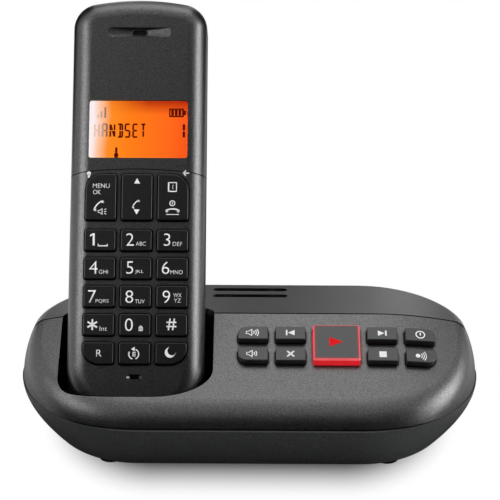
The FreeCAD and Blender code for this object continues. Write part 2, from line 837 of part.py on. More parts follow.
def socket_port(kind, front):
    """The way into a socket, from a place in its block out through the rear wall."""
    middle = size("socket_height")
    reach = size("base_depth")
    if kind == "line":
        x = socket_x[kind]
        half_w, half_t = size("line_port_width") / 2, size("line_port_tall") / 2
        return box_between((x - half_w, front, middle - half_t), (x + half_w, reach, middle + half_t))
    start = Vector(socket_x[kind], front, middle)
    return Part.makeCylinder(size("power_port_diameter") / 2, reach, start, Vector(0, 1, 0))


def build_fascia():
    """The front cover: key panel, rounded front, the front of the cradle's mouth, and its posts."""
    skin = front_outer.cut(front_inner).common(above_seam(0.0))
    skin = trimmed(skin, (-FAR, -FAR, -FAR), (FAR, 0, FAR))
    posts = []
    back = -(size("panel_mat_deep") + size("mat_thick"))
    for x in ((volume_x + skip_x) / 2, (next_x + power_x) / 2):
        lowered = crown_at(x)[0] + wall / 2
        for row in (size("panel_post_upper_row"), size("panel_post_lower_row")):
            post = cylinder_at(size("post_diameter"), back, -lowered, (x, -row))
            posts.append(placed(post, panel_frame))
    for place in front_screws:
        posts.append(screw_post(place, front_form(wall / 2)))
    for post in posts:
        skin = skin.fuse(post)
    for place in front_screws:
        skin = skin.cut(screw_bore(place))
    deep = front_form(size("seam_gap_deep"))
    groove = above_seam(0.0).cut(above_seam(size("seam_gap"))).cut(deep)
    crest_groove = box_between((-FAR, -size("seam_gap"), -FAR), (FAR, 0, FAR)).cut(deep)
    skin = skin.cut(groove).cut(crest_groove).cut(cradle_void)
    gap = size("panel_key_gap")
    for label, x, row, big in panel_keys:
        hole = key_prism(
            size("panel_key_width") + 2 * gap, size("panel_key_tall") + 2 * gap,
            key_corners("panel", big, gap), -wall * 2, wall * 2,
        )
        skin = skin.cut(placed(hole, panel_place(x, size(row))))
    hole = key_prism(
        size("play_key_width") + 2 * gap, size("play_key_tall") + 2 * gap,
        key_corners("panel", "", gap), -wall * 2, wall * 2,
    )
    return skin.cut(placed(hole, panel_place(play_x, play_row))).removeSplitter()


def build_rear_cover():
    """The rear cover: two speaker slots, the rear of the cradle's mouth, and its posts."""
    skin = rear_outer.cut(rear_inner)
    skin = trimmed(skin, (-FAR, 0, size("seam_side_height")), (FAR, FAR, FAR))
    for place in rear_screws:
        skin = skin.fuse(screw_post(place, rear_form(wall / 2)))
        skin = skin.cut(screw_bore(place))
    deep = rear_form(size("seam_gap_deep"))
    gap = size("seam_gap")
    seam = size("seam_side_height")
    skin = skin.cut(box_between((-FAR, 0, seam), (FAR, FAR, seam + gap)).cut(deep))
    skin = skin.cut(cradle_void)
    tall = size("speaker_slot_tall")
    for side in (-1, 1):
        slot = key_prism(size("speaker_slot_width"), tall, [tall * 0.49] * 4, seam, FAR)
        place = Vector(speaker_x, speaker_y + side * size("speaker_slot_pitch") / 2, 0)
        skin = skin.cut(placed(slot, Placement(place, Rotation())))
    return skin.removeSplitter()


lower_shell = build_lower_shell()
fascia = build_fascia()
rear_cover = build_rear_cover()
add_solid("base_lower_shell", lower_shell, ground)
add_solid("base_fascia", fascia, ground)
add_solid("base_rear_cover", rear_cover, ground)


def contact_places():
    """Where the two charging pins meet the flat foot of the handset."""
    depth = size("contact_depth")
    lean = math.radians(size("handset_lean"))
    base = handset_frame.Base
    y = base.y + (depth + (floor_height - base.z) * math.sin(lean)) / math.cos(lean)
    return [(base.x + side * size("contact_spacing") / 2, y) for side in (-1, 1)]


def build_cradle():
    """The well that the handset stands in: a wall around the void and a level floor with two holes."""
    cup = placed(cradle_prism(size("cradle_wall")), handset_frame)
    cup = trimmed(cup, (-FAR, -FAR, floor_height - size("cradle_wall")), (FAR, FAR, FAR))
    cup = cup.cut(cradle_void)
    front = trimmed(cup, (-FAR, -FAR, -FAR), (FAR, 0, FAR)).common(front_inner)
    rear = trimmed(cup, (-FAR, 0, -FAR), (FAR, FAR, FAR)).common(rear_inner)
    cup = front.fuse(rear).cut(lower_shell).cut(fascia).cut(rear_cover)
    cup = max(cup.Solids, key=lambda solid: solid.Volume)
    for place in contact_places():
        hole = cylinder_at(size("contact_diameter") + 2 * size("pin_clearance"), 0, FAR, place)
        cup = cup.cut(hole)
    return cup.removeSplitter()


cradle = build_cradle()
add_solid("handset_cradle", cradle, ground)


# ---------------------------------------------------------------- base keys

panel_stop = size("panel_key_travel") + size("key_stop_gap")
key_foot = wall + size("panel_seat_gap") + size("panel_flange_thick")


def panel_stem(x, width):
    """How far a panel key's stem reaches below its flange, so that it just clears the mat when pressed."""
    drop, lean = crown_at(x)
    tilt = math.sin(math.radians(lean)) * width / 2
    return size("panel_mat_deep") - drop - tilt - panel_stop - key_foot


for label, x, row, big in panel_keys:
    key_body(
        label, "panel", "Sizes.panel_key_width", "Sizes.panel_key_tall", "Sizes.panel_key_proud",
        "shell_wall", big, panel_stem(x, size("panel_key_width")),
        ground.multiply(panel_place(x, size(row))),
    )


def build_play_key():
    """The play key in two pieces: a translucent skirt and the dark cap let into its top."""
    skirt_top = size("play_key_proud")
    width, tall = size("play_key_width"), size("play_key_tall")
    flange = size("key_flange")
    skirt = key_prism(width, tall, key_corners("panel", "", 0.0), -key_foot, skirt_top)
    rim = [edge for edge in skirt.Edges if is_level_at_top(edge, skirt)]
    skirt = skirt.makeChamfer(size("play_key_chamfer"), rim)
    skirt = skirt.fuse(
        key_prism(
            width + 2 * flange, tall + 2 * flange, key_corners("panel", "", flange),
            -key_foot, size("panel_flange_thick") - key_foot,
        )
    )
    stem = panel_stem(play_x, 0.0)
    skirt = skirt.fuse(key_prism(width / 2, tall / 2, [size("panel_key_round")] * 4, -key_foot - stem, 0.0))
    cap = key_prism(
        size("play_cap_width"), size("play_cap_tall"), key_corners("panel", "", 0.0),
        skirt_top - size("play_cap_deep"), skirt_top,
    )
    return skirt.cut(cap).removeSplitter(), cap


play_place = ground.multiply(panel_place(play_x, play_row))
play_skirt, play_cap = build_play_key()
add_solid("play_key_skirt", play_skirt, play_place)
add_solid("play_key_cap", play_cap, play_place)

# ---------------------------------------------------------------- inside the base

keypad_board_deep = size("panel_mat_deep") + size("mat_thick")
keypad_x = (volume_x + power_x) / 2
mat_width = (
    "(Sizes.volume_to_skip + Sizes.skip_to_play + Sizes.play_to_next + Sizes.next_to_power"
    " + Sizes.panel_key_width)"
)
board_place = Placement(Vector(keypad_x, -size("keypad_board_row"), -keypad_board_deep), Rotation())
plate_body(
    "keypad_board", f"{mat_width} + 2 * Sizes.keypad_board_margin", "Sizes.keypad_board_tall",
    "Sizes.board_thick",
    ground.multiply(panel_frame).multiply(board_place),
)
mat_place = Placement(Vector(keypad_x, -play_row, -size("panel_mat_deep")), Rotation())
plate_body(
    "base_key_mat", mat_width, "Sizes.play_key_tall", "Sizes.mat_thick",
    ground.multiply(panel_frame).multiply(mat_place),
)
main_board_top = size("main_board_height") + size("board_thick")
plate_body(
    "main_board", "Sizes.main_board_width",
    "Sizes.base_depth - Sizes.main_board_front_gap - Sizes.main_board_rear_gap", "Sizes.board_thick",
    ground.multiply(Placement(Vector(main_board_x, main_board_y, main_board_top), Rotation())),
)


def primitive(kind, name, height=None, **expressions):
    """A Part primitive whose sizes are expressions on the sheet, raised to a height."""
    item = doc.addObject(kind, name)
    for field, expression in expressions.items():
        item.setExpression(field, expression)
    if height:
        item.setExpression("Placement.Base.z", height)
    return item


def combined(kind, label, pieces, placement):
    """A Part boolean of primitives, kept as one sub-part."""
    item = doc.addObject(kind, label)
    if kind == "Part::MultiFuse":
        item.Shapes = pieces
    else:
        item.Base, item.Tool = pieces
    item.Label = label
    item.Placement = placement
    return item


antenna = primitive(
    "Part::Box", "base_antenna",
    Length="Sizes.antenna_length", Width="Sizes.antenna_thick", Height="Sizes.antenna_tall",
)
antenna.Label = "base_antenna"
antenna_y = main_board_y - main_board_depth / 2 + size("antenna_inset")
antenna.Placement = ground.multiply(Placement(Vector(main_board_x, antenna_y, main_board_top), Rotation()))
subparts.append(antenna)

# The loudspeaker hangs by its flange under the speaker slots; its frame's top is on z = 0.
speaker_frame = Placement(Vector(0, 0, size("crest_height")), Rotation(X_AXIS, -size("rear_slope")))
speaker_along = speaker_y / math.cos(math.radians(size("rear_slope")))
speaker_spot = Placement(Vector(speaker_x, speaker_along, -wall), Rotation())
speaker_place = ground.multiply(speaker_frame).multiply(speaker_spot)
half_speaker = "Sizes.speaker_diameter / 2"
cone_tall = "Sizes.speaker_deep - Sizes.speaker_magnet_tall - Sizes.cone_thick"


def speaker_cone(name, lift, spread):
    """A funnel from the magnet up to just under the speaker's rim."""
    return primitive(
        "Part::Cone", name, f"Sizes.speaker_magnet_tall - Sizes.speaker_deep + {lift}",
        Radius1=f"Sizes.speaker_magnet_diameter / 4 + {spread}",
        Radius2=f"{half_speaker} - Sizes.speaker_rim + {spread}",
        Height=f"{cone_tall} + Sizes.cone_thick - {lift}",
    )


basket = combined(
    "Part::MultiFuse", "speaker_basket",
    [
        primitive(
            "Part::Cylinder", "speaker_flange", "-Sizes.speaker_flange_thick",
            Radius=half_speaker, Height="Sizes.speaker_flange_thick",
        ),
        speaker_cone("speaker_funnel", "0", "Sizes.speaker_rim * 0.7"),
        primitive(
            "Part::Cylinder", "speaker_magnet", "-Sizes.speaker_deep",
            Radius="Sizes.speaker_magnet_diameter / 2", Height="Sizes.speaker_magnet_tall",
        ),
    ],
    Placement(),
)
speaker = combined(
    "Part::Cut", "loudspeaker_frame", (basket, speaker_cone("speaker_bowl", "0", "0")), speaker_place
)
cone = combined(
    "Part::Cut", "loudspeaker_cone",
    (speaker_cone("cone_outside", "0", "0"), speaker_cone("cone_inside", "Sizes.cone_thick", "0")),
    speaker_place,
)
subparts.extend([speaker, cone])


def build_socket(kind):
    """A socket block against its pad on the rear wall, its opening to the rear."""
    x = socket_x[kind]
    middle = size("socket_height")
    half_w, half_t = size("socket_width") / 2, size("socket_tall") / 2
    front = socket_face - size("socket_deep")
    block = box_between((x - half_w, front, middle - half_t), (x + half_w, socket_face, middle + half_t))
    block = block.cut(socket_port(kind, front + size("socket_back")))
    if kind == "line":
        return block
    start = Vector(x, front + size("socket_back") / 2, middle)
    long = size("socket_deep") - size("socket_back")
    pin = Part.makeCylinder(size("power_pin_diameter") / 2, long, start, Vector(0, 1, 0))
    return block.fuse(pin).removeSplitter()


add_solid("power_socket", build_socket("power"), ground)
add_solid("line_socket", build_socket("line"), ground)


def build_charging_pins():
    """Two sprung pins with a collar under the cradle's floor and a domed tip above it."""
    radius = size("contact_diameter") / 2
    under = floor_height - size("cradle_wall")
    pins = []
    for place in contact_places():
        tip = floor_height + size("contact_stand")
        pin = cylinder_at(2 * radius, under - size("pin_tail"), tip, place)
        dome = [edge for edge in pin.Edges if is_level_at_top(edge, pin)]
        pin = pin.makeFillet(radius * 0.7, dome)
        collar = cylinder_at(radius * 4, under - size("pin_collar_thick"), under, place)
        pins.append(pin.fuse(collar).removeSplitter())
    return Part.makeCompound(pins)


add_solid("charging_pins", build_charging_pins(), ground)


def build_feet():
    """Four round pads, let into the pockets under the tub."""
    top = size("foot_height") + size("foot_pocket")
    places = [(x * foot_x, y * foot_y) for x in (-1, 1) for y in (-1, 1)]
    return Part.makeCompound([cylinder_at(size("foot_diameter"), 0, top, place) for place in places])


def build_base_screws():
    """Four screws from below, through the tub's bosses into the posts of the covers."""
    seat = size("foot_height") + size("screw_seat")
    screws = []
    for place in rear_screws + front_screws:
        thick = size("screw_head_thick")
        half = size("screw_head") * 0.36
        head = cylinder_at(size("screw_head"), seat - thick, seat, place)
        shank = cylinder_at(size("screw_diameter"), seat - thick / 2, seat + size("screw_length"), place)
        slot = box_between((-half, -half / 5, 0), (half, half / 5, seat - thick / 2))
        slot.translate(Vector(*place, 0))
        screws.append(head.fuse(shank).cut(slot).removeSplitter())
    return Part.makeCompound(screws)


add_solid("rubber_feet", build_feet(), ground)
add_solid("base_screws", build_base_screws(), ground)

# ---------------------------------------------------------------- handset covers

in_handset = ground.multiply(handset_frame)
split = size("handset_split")
seam_gap_deep = size("seam_gap_deep")
handset_grooved = handset_form(seam_gap_deep)
hand_board_deep = size("hand_mat_deep") + size("hand_mat_thick")


def seam_cylinder(shrink):
    """The space below the arched seam across the handset's face."""
    radius = size("face_seam_radius")
    start = Vector(0, face_seam - radius, -FAR / 2)
    return Part.makeCylinder(radius - shrink, FAR, start)


def hand_key_place(column, y):
    """The centre of a key on the handset's face, by its column from -1 to 1."""
    return Placement(Vector(column * size("hand_key_pitch_x"), y, 0), Rotation())


def key_row_y(row):
    """The height of a row of keys on the handset, counted from the bottom."""
    return size("hand_key_bottom_row") + row * size("hand_key_pitch_y")


def bottom_row_corner(row, column):
    """The outer keys of the bottom row have one big corner each, as the face is round there."""
    return {-1: "bl", 1: "br"}.get(column, "") if row == 0 else ""


def tapered_slot(width, tall, inner_width, inner_tall, deep):
    """A shallow dish that narrows from a slot on the face to a small opening below it."""
    outer = rounded_rectangle(width, tall, [tall * 0.4] * 4, 0.0).OuterWire
    inner = rounded_rectangle(inner_width, inner_tall, [inner_tall * 0.4] * 4, -deep).OuterWire
    return Part.makeLoft([outer, inner], True, True)


def hand_post(x, y, height):
    """A post inside the handset, from the face cover's wall down to the circuit board."""
    return cylinder_at(size("hand_post_diameter"), -hand_board_deep, -height, (x, y))


handset_skin = handset_outer.cut(handset_inner)
face_skin = trimmed(handset_skin, (-FAR, -FAR, -split), (FAR, FAR, FAR))
back_skin = trimmed(handset_skin, (-FAR, -FAR, -FAR), (FAR, FAR, -split))


def build_keypad_cover():
    """The lower face cover, with a hole for each key and the microphone's dish."""
    cover = face_skin.common(seam_cylinder(0.0))
    cover = cover.cut(seam_cylinder(0.0).cut(seam_cylinder(size("face_seam_gap"))).cut(handset_grooved))
    for side in (-1, 1):
        cover = cover.fuse(hand_post(side * size("low_post_x"), size("low_post_row"), handset_wall / 2))
    gap = size("hand_key_gap")
    width = size("hand_key_width") + 2 * gap
    for row in range(len(handset_key_rows)):
        for column in (-1, 0, 1):
            hole = key_prism(
                width, size("hand_key_tall") + 2 * gap,
                key_corners("hand", bottom_row_corner(row, column), gap), -handset_wall * 1.5, 1.0,
            )
            cover = cover.cut(placed(hole, hand_key_place(column, key_row_y(row))))
    for column, (label, big) in zip((-1, 0, 1), rocker_keys):
        hole = key_prism(
            width, size("rocker_tall") + 2 * gap, key_corners("hand", big, gap), -handset_wall * 1.5, 1.0
        )
        cover = cover.cut(placed(hole, hand_key_place(column, rocker_row)))
    mic = Placement(Vector(0, size("mic_row"), 0), Rotation())
    dish = tapered_slot(
        size("mic_dish_width"), size("mic_slot_tall"),
        size("mic_slot_width"), size("mic_slot_tall") * 0.8, size("mic_dish_deep"),
    )
    slot_tall = size("mic_slot_tall") * 0.8
    slot_round = size("mic_slot_tall") * 0.3
    slot = key_prism(size("mic_slot_width"), slot_tall, [slot_round] * 4, -handset_wall * 1.2, 0)
    return cover.cut(placed(dish, mic)).cut(placed(slot, mic)).removeSplitter()


def build_display_cover():
    """The upper face cover, with the display's opening and the earpiece's dish."""
    cover = face_skin.cut(seam_cylinder(0.0))
    for side in (-1, 1):
        cover = cover.fuse(hand_post(side * size("high_post_x"), size("high_post_row"), handset_wall / 2))
    window = key_prism(
        size("window_width"), size("window_tall"), [size("window_corner")] * 4, -handset_wall * 1.5, 1.0
    )
    cover = cover.cut(placed(window, Placement(Vector(0, window_row, 0), Rotation())))
    ear = Placement(Vector(0, size("earpiece_row"), 0), Rotation())
    dish = tapered_slot(
        size("earpiece_slot_width"), size("earpiece_slot_tall"),
        size("earpiece_hole_width") + 1.0, size("earpiece_hole_tall") + 0.4, handset_wall * 0.6,
    )
    slot = key_prism(
        size("earpiece_hole_width"), size("earpiece_hole_tall"), [size("earpiece_hole_tall") * 0.4] * 4,
        -handset_wall * 1.2, 0,
    )
    return cover.cut(placed(dish, ear)).cut(placed(slot, ear)).removeSplitter()


bay_length = size("cell_length") + 2 * (size("contact_leaf") + size("contact_spring"))
bay_half = size("cell_diameter") + size("bay_clearance") / 2
cover_inner = size("handset_thick") - size("battery_cover_thick")
cell_depth = cover_inner - size("bay_clearance") / 2 - size("cell_diameter") / 2
bay_roof = cell_depth - size("cell_diameter") / 2 - size("bay_clearance") / 2


def bay_box(grow, roof, bottom):
    """The battery bay's box, grown by a wall, between two depths."""
    row = size("bay_row")
    return box_between(
        (-bay_half - grow, row - bay_length / 2 - grow, -bottom),
        (bay_half + grow, row + bay_length / 2 + grow, -roof),
    )


def contact_box(place, inset, low):
    """The pocket over a charging pin up to its roof, or the plate in it, in the world frame."""
    half_x = size("contact_pocket_width") / 2 - inset
    half_y = size("contact_pocket_long") / 2 - inset
    top = floor_height + size("contact_pocket_deep")
    x, y = place
    return box_between((x - half_x, y - half_y, low), (x + half_x, y + half_y, top))


def build_back_shell():
    """The back cover, with the battery bay, the recess for its cover, ringer slots and contact pockets."""
    groove = box_between((-FAR, -FAR, -split - size("seam_gap")), (FAR, FAR, -split)).cut(handset_grooved)
    shell = back_skin.cut(groove)
    shell = shell.fuse(bay_box(size("bay_wall"), bay_roof - size("bay_wall"), cover_inner - 0.5))
    shell = shell.cut(bay_box(0.0, bay_roof, FAR))
    gap = size("cover_gap")
    half = size("battery_cover_half") + gap
    low = size("battery_cover_low") - size("battery_cover_travel") - gap
    shell = shell.cut(
        box_between((-half, low, -FAR), (half, size("battery_cover_high") + gap, -cover_inner))
    )
    for step in range(-2, 3):
        half_w, half_t = size("ringer_slot_width") / 2, size("ringer_slot_tall") / 2
        deepest = handset_wall * 1.5 - size("handset_thick")
        slot = box_between((-half_w, -half_t, -FAR), (half_w, half_t, deepest))
        slot.translate(Vector(0, size("ringer_row") + step * size("ringer_slot_pitch"), 0))
        shell = shell.cut(slot)
    to_handset = handset_frame.inverse()
    for place in contact_places():
        shell = shell.cut(placed(contact_box(place, 0.0, 0.0), to_handset))
    return shell.removeSplitter()


add_solid("handset_keypad_cover", build_keypad_cover(), in_handset)
add_solid("handset_display_cover", build_display_cover(), in_handset)
add_solid("handset_back_shell", build_back_shell(), in_handset)


def build_battery_cover():
    """The sliding cover over the cells, with three grip notches near its lower end."""
    half = size("battery_cover_half")
    low, high = size("battery_cover_low"), size("battery_cover_high")
    plate = key_prism(2 * half, high - low, [size("cover_corner")] * 4, -size("handset_thick"), -cover_inner)
    plate.translate(Vector(0, (low + high) / 2, 0))
    half_w, half_t = size("grip_width") / 2, size("grip_tall") / 2
    for step in range(3):
        deepest = size("grip_deep") - size("handset_thick")
        notch = box_between((-half_w, -half_t, -FAR), (half_w, half_t, deepest))
        notch.translate(Vector(0, low + size("grip_start") + step * size("grip_pitch"), 0))
        plate = plate.cut(notch)
    return plate


add_solid("battery_cover", build_battery_cover(), in_handset)

# ---------------------------------------------------------------- inside the handset

window_rim_deep = size("window_rim_deep")
window_back = window_rim_deep + size("window_rim_thick")


def build_window():
    """The clear window: a plate in the opening with a wider rim behind the cover."""
    gap, rim, corner = size("window_gap"), size("window_rim"), size("window_corner")
    width, tall = size("window_width"), size("window_tall")
    plate = key_prism(
        width - 2 * gap, tall - 2 * gap, [corner - gap] * 4, -window_rim_deep, -size("window_recess")
    )
    back = key_prism(width + 2 * rim, tall + 2 * rim, [corner] * 4, -window_back, -window_rim_deep)
    solid = plate.fuse(back).removeSplitter()
    solid.translate(Vector(0, window_row, 0))
    return solid


add_solid("display_window", build_window(), in_handset)
plate_body(
    "display_module", "Sizes.window_width + 2 * Sizes.window_rim", "Sizes.window_tall + 2 * Sizes.window_rim",
    "Sizes.hand_mat_deep + Sizes.hand_mat_thick - Sizes.window_rim_deep - Sizes.window_rim_thick",
    in_handset.multiply(Placement(Vector(0, window_row, -window_back), Rotation())),
)
plate_body(
    "handset_board", "Sizes.hand_board_width", "Sizes.hand_board_tall", "Sizes.board_thick",
    in_handset.multiply(Placement(Vector(0, size("hand_board_row"), -hand_board_deep), Rotation())),
)
hand_mat_low = size("hand_key_bottom_row") - size("hand_key_tall") / 2 - size("hand_mat_margin")
hand_mat_high = rocker_row + size("rocker_tall") / 2 + size("hand_mat_margin")
hand_mat_row = (hand_mat_low + hand_mat_high) / 2
plate_body(
    "handset_key_mat", "Sizes.hand_mat_width",
    f"{len(handset_key_rows) - 1} * Sizes.hand_key_pitch_y + Sizes.digits_to_rockers"
    " + (Sizes.rocker_tall + Sizes.hand_key_tall) / 2 + 2 * Sizes.hand_mat_margin",
    "Sizes.hand_mat_thick",
    in_handset.multiply(Placement(Vector(0, hand_mat_row, -size("hand_mat_deep")), Rotation())),
)


def disc(label, kind, top):
    """A round part inside the handset, hung from a depth below the face."""
    radius, height = f"Sizes.{kind}_diameter / 2", f"Sizes.{kind}_deep"
    item = primitive("Part::Cylinder", label, Radius=radius, Height=height)
    item.Label = label
    low = top - size(f"{kind}_deep")
    item.Placement = in_handset.multiply(Placement(Vector(0, size(f"{kind}_row"), low), Rotation()))
    subparts.append(item)


disc("earpiece_speaker", "earpiece", -handset_wall)
disc("microphone", "mic", -handset_wall)
disc("ringer_speaker", "ringer", handset_wall + size("ringer_deep") - size("handset_thick"))


def build_cells():
    """Two rechargeable cells side by side, one each way up, each with its positive button."""
    cells = []
    row = size("bay_row")
    button = size("cell_button_length")
    for side in (-1, 1):
        length = size("cell_length") - button
        start = row - size("cell_length") / 2 + (button if side > 0 else 0)
        x = side * (size("cell_diameter") + size("cell_gap")) / 2
        body = Part.makeCylinder(
            size("cell_diameter") / 2, length, Vector(x, start, -cell_depth), Vector(0, 1, 0)
        )
        tip = start - button if side > 0 else start + length
        radius = size("cell_button_diameter") / 2
        nub = Part.makeCylinder(radius, button, Vector(x, tip, -cell_depth), Vector(0, 1, 0))
        cells.append(body.fuse(nub).removeSplitter())
    return Part.makeCompound(cells)


def build_battery_contacts():
    """A leaf with a raised spring at each end of each cell."""
    leaves = []
    row = size("bay_row")
    leaf, spring = size("contact_leaf"), size("contact_spring")
    half = size("contact_leaf_width") / 2
    button = size("cell_button_diameter") / 2
    for side_x in (-1, 1):
        x = side_x * (size("cell_diameter") + size("cell_gap")) / 2
        for side_y in (-1, 1):
            outer = row + side_y * bay_length / 2
            inner = outer - side_y * leaf
            low, high = min(outer, inner), max(outer, inner)
            plate = box_between((x - half, low, -cell_depth - half), (x + half, high, -cell_depth + half))
            start = Vector(x, inner, -cell_depth)
            coil = Part.makeCone(half * 0.75, button, spring, start, Vector(0, -side_y, 0))
            leaves.append(plate.fuse(coil).removeSplitter())
    return Part.makeCompound(leaves)


def build_handset_contacts():
    """The two plates in the handset's foot that meet the charging pins."""
    low = floor_height + size("contact_pocket_deep") - size("contact_plate_thick")
    plates = []
    for place in contact_places():
        plates.append(placed(contact_box(place, size("contact_plate_gap"), low), handset_frame.inverse()))
    return Part.makeCompound(plates)


add_solid("battery_cells", build_cells(), in_handset)
add_solid("battery_contacts", build_battery_contacts(), in_handset)
add_solid("handset_contacts", build_handset_contacts(), in_handset)

# ---------------------------------------------------------------- handset keys

for column, (label, big) in zip((-1, 0, 1), rocker_keys):
    key_body(
        label, "hand", "Sizes.hand_key_width", "Sizes.rocker_tall", "Sizes.hand_key_proud",
        "handset_wall", big, 0.0, in_handset.multiply(hand_key_place(column, rocker_row)),
    )
for row, labels in enumerate(handset_key_rows):
    for column, label in zip((-1, 0, 1), labels):
        key_body(
            label, "hand", "Sizes.hand_key_width", "Sizes.hand_key_tall", "Sizes.hand_key_proud",
            "handset_wall", bottom_row_corner(row, column), 0.0,
            in_handset.multiply(hand_key_place(column, key_row_y(row))),
        )

# ---------------------------------------------------------------- checks and export

doc.recompute()
for item in doc.Objects:
    if "Invalid" in item.State or "Error" in item.State:
        raise RuntimeError(f"{item.Label} failed: {item.State}")
for item in subparts:
    if item.Shape.isNull() or not item.Shape.isValid() or not item.Shape.Solids:
        raise RuntimeError(f"{item.Label} has no valid solid")

os.makedirs("parts", exist_ok=True)
for item in subparts:
    item.Shape.exportStep(os.path.join("parts", item.Label + ".step"))
    print(item.Label, len(item.Shape.Solids), round(item.Shape.Volume, 2))
print(len(subparts), "sub-parts")
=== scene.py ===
import json
import math

import bmesh
import bpy
from mathutils import Matrix, Vector

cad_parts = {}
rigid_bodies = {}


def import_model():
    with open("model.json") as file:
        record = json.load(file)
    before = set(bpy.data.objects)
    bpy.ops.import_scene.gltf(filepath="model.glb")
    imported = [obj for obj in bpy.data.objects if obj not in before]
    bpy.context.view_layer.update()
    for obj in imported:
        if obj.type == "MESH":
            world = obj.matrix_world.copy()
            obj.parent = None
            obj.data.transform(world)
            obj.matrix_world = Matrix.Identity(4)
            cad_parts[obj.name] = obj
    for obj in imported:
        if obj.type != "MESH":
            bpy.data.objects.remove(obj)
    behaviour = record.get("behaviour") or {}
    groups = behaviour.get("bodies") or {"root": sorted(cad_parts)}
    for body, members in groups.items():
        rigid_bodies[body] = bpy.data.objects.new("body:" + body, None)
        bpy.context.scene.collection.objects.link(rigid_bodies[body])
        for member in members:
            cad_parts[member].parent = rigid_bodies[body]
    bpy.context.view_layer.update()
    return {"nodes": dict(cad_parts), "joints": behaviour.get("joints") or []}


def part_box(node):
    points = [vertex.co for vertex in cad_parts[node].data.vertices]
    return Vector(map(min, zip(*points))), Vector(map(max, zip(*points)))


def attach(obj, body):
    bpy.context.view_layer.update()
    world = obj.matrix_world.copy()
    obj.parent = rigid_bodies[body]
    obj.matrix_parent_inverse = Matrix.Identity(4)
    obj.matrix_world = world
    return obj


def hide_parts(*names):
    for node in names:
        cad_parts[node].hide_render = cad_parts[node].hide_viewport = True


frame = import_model()
MM = 0.001

# The studio: one seamless sheet of white card under and behind the machine, as on a catalogue page.
# A wide softbox hangs over it, a square one stands at each side, black flags keep stray glints away,
# and a long lens looks at it from the front and a little above.


def linear(hex_colour):
    """A linear RGBA colour from an sRGB hex value."""
    shares = [int(hex_colour[place:place + 2], 16) / 255 for place in (1, 3, 5)]
    return (*[s / 12.92 if s <= 0.04045 else ((s + 0.055) / 1.055) ** 2.4 for s in shares], 1.0)


def add_node(tree, kind, inputs=None, **settings):
    """Adds a node to a tree, with its settings, and its sockets given values or linked to outputs."""
    node = tree.nodes.new(kind)
    for name, value in settings.items():
        setattr(node, name, value)
    for name, value in (inputs or {}).items():
        if isinstance(value, bpy.types.NodeSocket):
            tree.links.new(value, node.inputs[name])
        else:
            node.inputs[name].default_value = value
    return node


def new_material(name):
    """An empty material, ready for its nodes."""
    material = bpy.data.materials.new(name)
    material.use_nodes = True
    material.node_tree.nodes.clear()
    return material


def math_node(tree, operation, first, second=0.0, third=0.0):
    """A sum in a shader, and the socket that holds its result."""
    inputs = {0: first, 1: second, 2: third}
    return add_node(tree, "ShaderNodeMath", inputs, operation=operation).outputs["Value"]


def settle(name, shape, material):
    """A piece of one material, from a drawn shape."""
    mesh = bpy.data.meshes.new(name)
    shape.to_mesh(mesh)
    shape.free()
    mesh.materials.append(material)
    piece = bpy.data.objects.new(name, mesh)
    bpy.context.scene.collection.objects.link(piece)
    return piece


